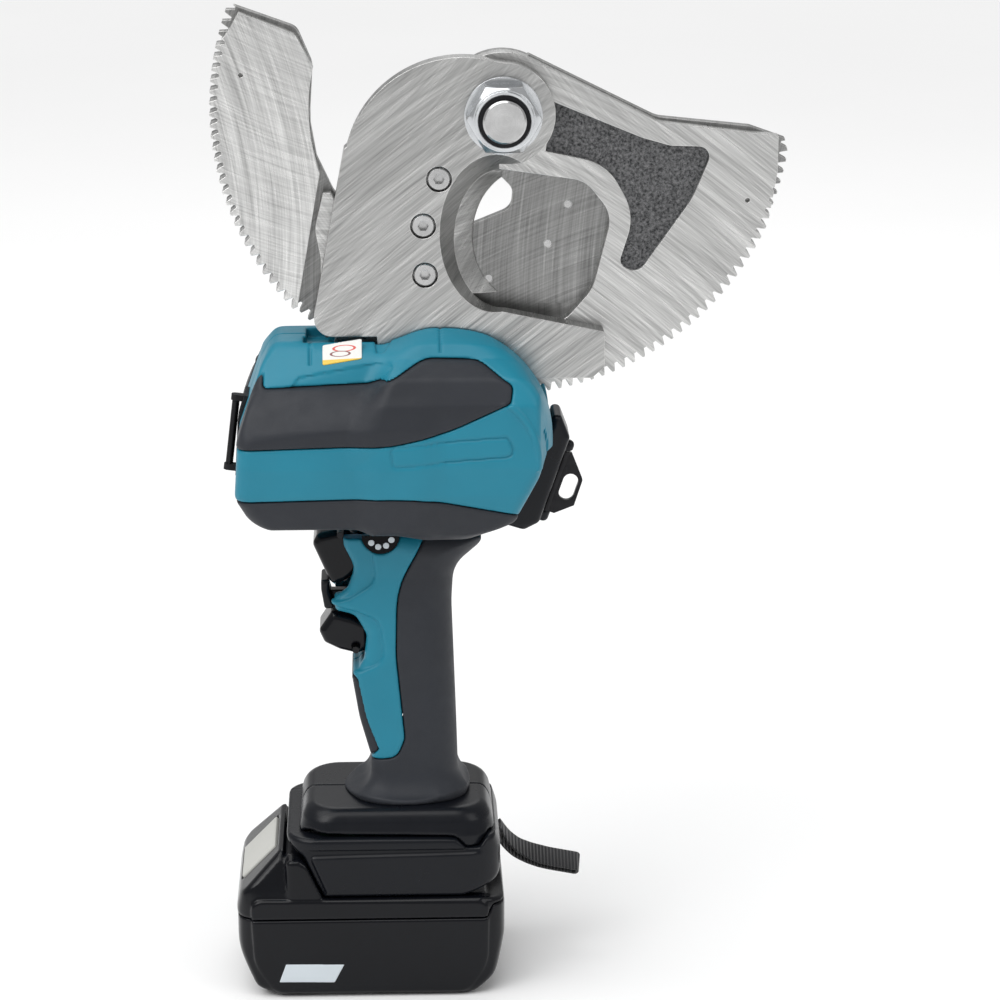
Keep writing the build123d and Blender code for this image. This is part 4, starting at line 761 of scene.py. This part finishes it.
# ---------------------------------------------------------------- foot and battery
FOOT_TOP = 84.0
FOOT_SPLIT = 72.5
SPLIT_X = (-31.0, -20.0, 33.0, 37.0, 41.5, 47.0, 52.0)
SPLIT_Z = (75.4, 74.0, 72.6, 72.0, 67.6, 67.8, 74.6)     # lower edge of the upper foot on its faces
FOOT_BASE = [(-37.0, FOOT_SPLIT), (-37.0, 69.0, 3), (-29.0, 63.6, 3), (-20.2, 45.6), (40.0, 45.6, 8),
             (57.0, 52.0, 6), (57.0, 66.0, 4), (54.0, FOOT_SPLIT)]
BASE_PANEL = [(-26.0, 64.2, 1), (44.0, 65.4), (54.0, 66.4, 2), (54.0, 30.0), (-12.0, 30.0), (-19.0, 47.4)]


def make_foot():
    """Upper foot in two half shells over the foot base that holds the battery's rails."""
    s = Space((-40, -38, 44), (60, 38, 86), 0.8)
    depth = abs(s.y)
    taper = np.interp(s.z, [FOOT_SPLIT, FOOT_TOP - 5, FOOT_TOP], [0.0, 1.6, 4.2])
    block = s.plan((-31.1, 53.9), (-34.5, 34.5), 14.0, taper)
    # its lower edge steps down towards the free side
    split = np.where(depth > 26.0, np.interp(s.x, SPLIT_X, SPLIT_Z), FOOT_SPLIT)
    split = FOOT_SPLIT + (split - FOOT_SPLIT) * np.clip((depth - 24.0) / 6.0, 0, 1)
    upper = meet(block, s.z - FOOT_TOP, 3.0)
    upper = np.maximum(upper, -(upper + 3.2))
    upper = meet(upper, (split + SEAM - s.z) * 0.8, 0.6)
    upper = cut(upper, s.box((5.0, 33.0), (-12.0, 12.0), (FOOT_TOP - 7, FOOT_TOP + 1)))
    for half, sign in (("front", -1.0), ("back", 1.0)):
        shape(f"foot_upper_{half}", s, meet(upper, SEAM * 0.8 - sign * s.y, 0.4), "tool", "black_plastic",
              satin_black, f"foot_{half}")
    base = meet(s.side(FOOT_BASE), s.plan((-37.0, 57.0), (-36.5, 36.5), 14.0), 2.2)
    # the faces step back round a raised panel
    around = np.maximum(-s.side(BASE_PANEL), 35.3 - depth)
    base = cut(base, np.maximum(around, np.maximum(s.z - 67.5, 47.0 - s.z)), 0.3)
    base = meet(base, (s.z - split + SEAM) * 0.8, 0.8)
    base = cut(base, np.maximum(block - 0.4, FOOT_SPLIT - s.z))
    base = cut(base, s.box((-60, 50.0), (-32.4, 32.4), (40, 62.4)), 0.4)
    base = cut(base, s.box((-34.0, 50.0), (-30.0, 30.0), (62.0, 70.0)))
    shape("foot_lower", s, base, "tool", "black_plastic", satin_black, "foot_base")


CASE_LOWER = [(-59.0, 60.0), (-59.0, 22.0, 20), (-50.0, 4.0, 6), (-40.0, 0.0, 6), (44.0, 0.0, 8),
              (54.0, 8.0, 10), (59.0, 26.0, 10), (59.0, 60.0)]
CASE_UPPER = [(-59.0, 20.0), (-59.0, 39.5, 3), (-57.0, 46.5, 4), (-39.4, 64.6, 1.5), (-37.4, 64.6),
              (-37.4, 63.0), (-30.4, 63.0), (-29.4, 61.8), (49.4, 61.8), (49.4, 45.0), (59.0, 43.0, 3),
              (59.0, 20.0)]
CASE_PLATE = [(-52.4, 45.2, 5), (51.2, 44.2, 5), (50.6, 14.0, 20), (42.0, 1.2, 8), (-42.0, 1.6, 8),
              (-51.0, 15.0, 20)]
RAIL_CLEARANCE = [(-37.2, 90.0), (-37.2, 68.8, 3), (-29.2, 63.2, 3), (-20.8, 45.2), (70.0, 45.2),
                  (70.0, 90.0)]
NOSE_CLEARANCE = [(80, 45.2), (37.6, 45.2), (27.0, 71.0), (27.0, 90), (80, 90)]    # (y, z)
PLATE_FACE = 38.4
BUTTON_HALF = 17.0
BUTTON_SLOT = 0.35


def make_battery():
    """Slide-on battery: lower case, cover with a slanted nose, and release button."""
    s = Space((-61, -39, -1), (61, 39, 71), 0.9)
    plan = s.plan((-59.0, 59.0), (-37.5, 37.5), 12.0)
    lower = meet(plan, s.side(CASE_LOWER), 3.0)
    lower = np.maximum(lower, -(lower + 2.4))
    # raised plate on each long side, whose top overlaps the cover
    depth = abs(s.y)
    plate = meet(meet(s.side(CASE_PLATE), depth - PLATE_FACE, 1.2), 33.0 - depth)
    # the seam runs straight across the plates and steps up to the ends
    step = np.clip((abs(s.x + 0.6) - 50.5) / 3.0, 0, 1) * np.clip((40.0 - depth) / 3.0, 0, 1)
    seam = 36.0 + 5.4 * step * np.clip((s.x + 10.0) / 20.0, 0, 1)
    lower = meet(join(lower, plate, 0.5), (s.z - seam + SEAM) * 0.8, 0.5)
    shape("battery_lower", s, lower, "battery", "black_plastic", gloss_black, "battery_case_lower")
    upper = meet(plan, s.side(CASE_UPPER), 2.0)
    rails = np.maximum(s.side(RAIL_CLEARANCE), 31.9 - depth)
    nose = np.maximum(polygon_distance(depth, s.z, NOSE_CLEARANCE), s.x + 37.0)
    upper = cut(cut(upper, nose, 3.0), rails, 1.0)
    upper = cut(upper, s.box((-25.0, 46.0), (-29, 29), (30, 58.0)))
    upper = meet(join(upper, plate, 0.5), (seam + SEAM - s.z) * 0.8, 0.5)
    button = s.side(button_corners(BUTTON_SLOT, 8.4))
    upper = cut(upper, np.maximum(button, depth - BUTTON_HALF - BUTTON_SLOT), 0.6)
    shape("battery_upper", s, upper, "battery", "black_plastic", gloss_black, "battery_case_upper")
    b = Space((-62, -18, 42), (-36, 18, 68), 0.6)
    plate = meet(b.side(button_corners(0.0, 5.0)), abs(b.y) - BUTTON_HALF, 0.8)
    shape("release_button", b, plate, "battery_button", "button_grey", grey_button, "battery_button")


def button_corners(grow, depth):
    """Release button across the slanted nose of the battery."""
    low, high = np.array([-57.0, 46.5]), np.array([-39.4, 64.6])
    run = (high - low) / np.linalg.norm(high - low)
    out = np.array([-run[1], run[0]])
    start, end = low + run * (1.5 - grow), high - run * (3.0 - grow)
    return [tuple(p) for p in (start + out * 0.8, end + out * 0.8, end - out * depth, start - out * depth)]


# ---------------------------------------------------------------- wrist strap, label and marks
STRAP_ROUTE = [(56.0, 59.5), (59.6, 53.2), (64.6, 48.4), (71.0, 45.4), (78.0, 43.2), (91.0, 40.6)]
STRAP_WIDTH = 10.0
STRAP_T = 1.24
STRAP_Y = 12.0
STRAP_TWIST = 0.55              # radians
LAYER_APART = 1.45              # from the band's middle to each layer's


def make_strap():
    """Wrist strap: one tape folded double, its fold outside."""
    route = np.array(STRAP_ROUTE)
    along = np.concatenate([[0.0], np.cumsum(np.hypot(*np.diff(route, axis=0).T))])
    count = 40
    fine = np.linspace(0.0, along[-1], count)
    line = np.stack([np.interp(fine, along, route[:, k]) for k in (0, 1)], axis=1)
    for _ in range(6):
        line[1:-1] = (line[:-2] + 2.0 * line[1:-1] + line[2:]) / 4.0
    run = np.gradient(line, axis=0)
    run /= np.linalg.norm(run, axis=1)[:, None]
    side = np.stack([-run[:, 1], run[:, 0]], axis=1)
    half_t = STRAP_T / 2
    turn = np.linspace(np.pi / 2, -np.pi / 2, 10)[1:-1]
    fold = line[-1] + LAYER_APART * (np.cos(turn)[:, None] * run[-1] + np.sin(turn)[:, None] * side[-1])
    middle = np.concatenate([line + side * LAYER_APART, fold, (line - side * LAYER_APART)[::-1]])
    way = np.gradient(middle, axis=0)
    way /= np.linalg.norm(way, axis=1)[:, None]
    out = np.stack([-way[:, 1], way[:, 0]], axis=1)
    # rounded cross section of the tape: (share of its thickness, y)
    half_w = STRAP_WIDTH / 2
    section = [(1.0, -half_w + 0.5), (1.0, 0.0), (1.0, half_w - 0.5), (0.6, half_w - 0.1),
               (-0.6, half_w - 0.1), (-1.0, half_w - 0.5), (-1.0, 0.0),
               (-1.0, -half_w + 0.5), (-0.6, -half_w + 0.1),
               (0.6, -half_w + 0.1)]
    # the band turns about its own line, so that its face tips towards -Y at the fold
    base = list(range(count)) + [count - 1] * len(fold) + list(range(count))[::-1]
    points = []
    for place, normal, k in zip(middle, out, base):
        twist = STRAP_TWIST * min(1.0, k / 24.0)
        for share, y in section:
            offset = place + normal * half_t * share - line[k]
            ahead, above = offset @ run[k], offset @ side[k]
            high = above * np.cos(twist) + y * np.sin(twist)
            x, z = line[k] + run[k] * ahead + side[k] * high
            points.append((x, STRAP_Y + y * np.cos(twist) - above * np.sin(twist), z))
    ring, rings = len(section), len(middle)
    quads = []
    for start in range(0, (rings - 1) * ring, ring):
        for k in range(ring):
            after = (k + 1) % ring
            quads.append((start + k, start + after, start + ring + after, start + ring + k))
    for start, turned_over in ((0, False), ((rings - 1) * ring, True)):
        for cap in ((9, 0, 1, 6), (9, 6, 7, 8), (1, 2, 5, 6), (2, 3, 4, 5)):
            cap = tuple(start + c for c in cap)
            quads.append(cap[::-1] if turned_over else cap)
    strap = mesh_object("wrist_strap", points, quads, "tool", "webbing", tape, "wrist_strap")


def make_label():
    """Warning label on the top slope, parallel to it."""
    s = Space((LABEL_X - 9.5, -28.0, 279.0), (LABEL_X + 9.5, -16.0, 292.0), 0.3)
    normal = (TOP_SLOPE[0], -TOP_SLOPE[1], TOP_SLOPE[2])
    place = (s.x - LABEL_X, s.y - LABEL_MIDDLE[0], s.z - LABEL_MIDDLE[1])
    high = sum(n * p for n, p in zip(normal, place))
    aside = place[0] - normal[0] * high
    up = (place[1] + place[2]) * 0.7071 - 0.13 * place[0]
    field = np.maximum(rounded_rectangle(aside, up, *LABEL_HALF, 0.9), abs(high) - LABEL_HALF_T)
    shape("warning_label", s, field, "tool", "label_film", label_film, "warning_label")


def rounded_rectangle(u, v, half_u, half_v, corner):
    """Distance to a rounded rectangle about the origin."""
    a, b = abs(u) - half_u + corner, abs(v) - half_v + corner
    return np.hypot(np.maximum(a, 0.0), np.maximum(b, 0.0)) + np.minimum(np.maximum(a, b), 0.0) - corner


DISC_DOTS = 9
DOT_RING_R = 5.0
DOT_R = 1.4
STRIPE = [(-37.3, 15.6), (-11.9, 15.2), (-16.2, 6.8), (-40.3, 7.2)]


def make_marks():
    """Plain printed marks: a ring of dots on the indicator and a stripe on the battery."""
    face = -GRIP_HALF - 1.4
    s = Space((-4.0, face - 0.5, 195.0), (15.0, face + 0.5, 205.0), 0.25)
    dots = s.x * 0.0 + 9.0
    for k in range(DISC_DOTS):
        angle = 2.0 * np.pi * (k + 0.45) / DISC_DOTS
        x, z = DISC_SPOT[0] + DOT_RING_R * np.cos(angle), DISC_SPOT[1] + DOT_RING_R * np.sin(angle)
        if z + DOT_R < HANDLE_Z[1]:
            dots = np.minimum(dots, np.hypot(s.x - x, s.z - z) - DOT_R)
    dots = np.maximum(dots, abs(s.y - face) - 0.16)
    shape("indicator_dots", s, dots, "tool", "disc_film", pale_print)
    s = Space((-42.0, -39.4, 5.0), (-10.0, -37.4, 17.5), 0.3)
    stripe = np.maximum(s.side(STRIPE), abs(s.y + PLATE_FACE) - 0.2)
    shape("battery_stripe", s, stripe, "battery", "label_film", pale_print)


# ---------------------------------------------------------------- stage
SOFT_LIGHTS = (((-0.9, -0.9, 1.1), 0.7, 4.0), ((1.1, -0.7, 1.0), 0.7, 3.0), ((0.1, 1.2, 1.3), 1.0, 4.0))


def make_stage():
    """Pale floor, white surroundings, one broad key light and three soft ones."""
    bpy.ops.mesh.primitive_plane_add(size=12.0, location=(0, 0, -0.0004))
    floor = bpy.context.object
    floor.name = "floor"
    r = Recipe("pale_floor", (0.94, 0.94, 0.94), 0.6)
    r.colour(r.mixed(r.noise(3.0), (0.93, 0.93, 0.93), (0.96, 0.96, 0.96)))
    floor.data.materials.append(r.material)
    world = bpy.data.worlds.new("studio")
    bpy.context.scene.world = world
    world.use_nodes = True
    world.node_tree.nodes["Background"].inputs[0].default_value = (1.0, 1.0, 1.0, 1.0)
    world.node_tree.nodes["Background"].inputs[1].default_value = 0.42
    sun = bpy.data.lights.new("broad_key", "SUN")
    sun.energy = 2.0
    sun.angle = 1.1
    key = bpy.data.objects.new("broad_key", sun)
    key.rotation_euler = Vector((0.55, 0.45, -1.5)).to_track_quat("-Z", "Y").to_euler()
    bpy.context.scene.collection.objects.link(key)
    for k, (place, size, power) in enumerate(SOFT_LIGHTS):
        data = bpy.data.lights.new(f"soft_{k}", "AREA")
        data.size = size
        data.energy = power
        lamp = bpy.data.objects.new(f"soft_{k}", data)
        lamp.location = place
        aim = Vector((0.03, 0, 0.24)) - Vector(place)
        lamp.rotation_euler = aim.to_track_quat("-Z", "Y").to_euler()
        bpy.context.scene.collection.objects.link(lamp)
    bpy.context.scene.view_settings.view_transform = "Standard"


make_housing()
make_spine()
make_handle()
make_triggers()
make_foot()
make_battery()
make_strap()
make_label()
make_marks()
make_stage()
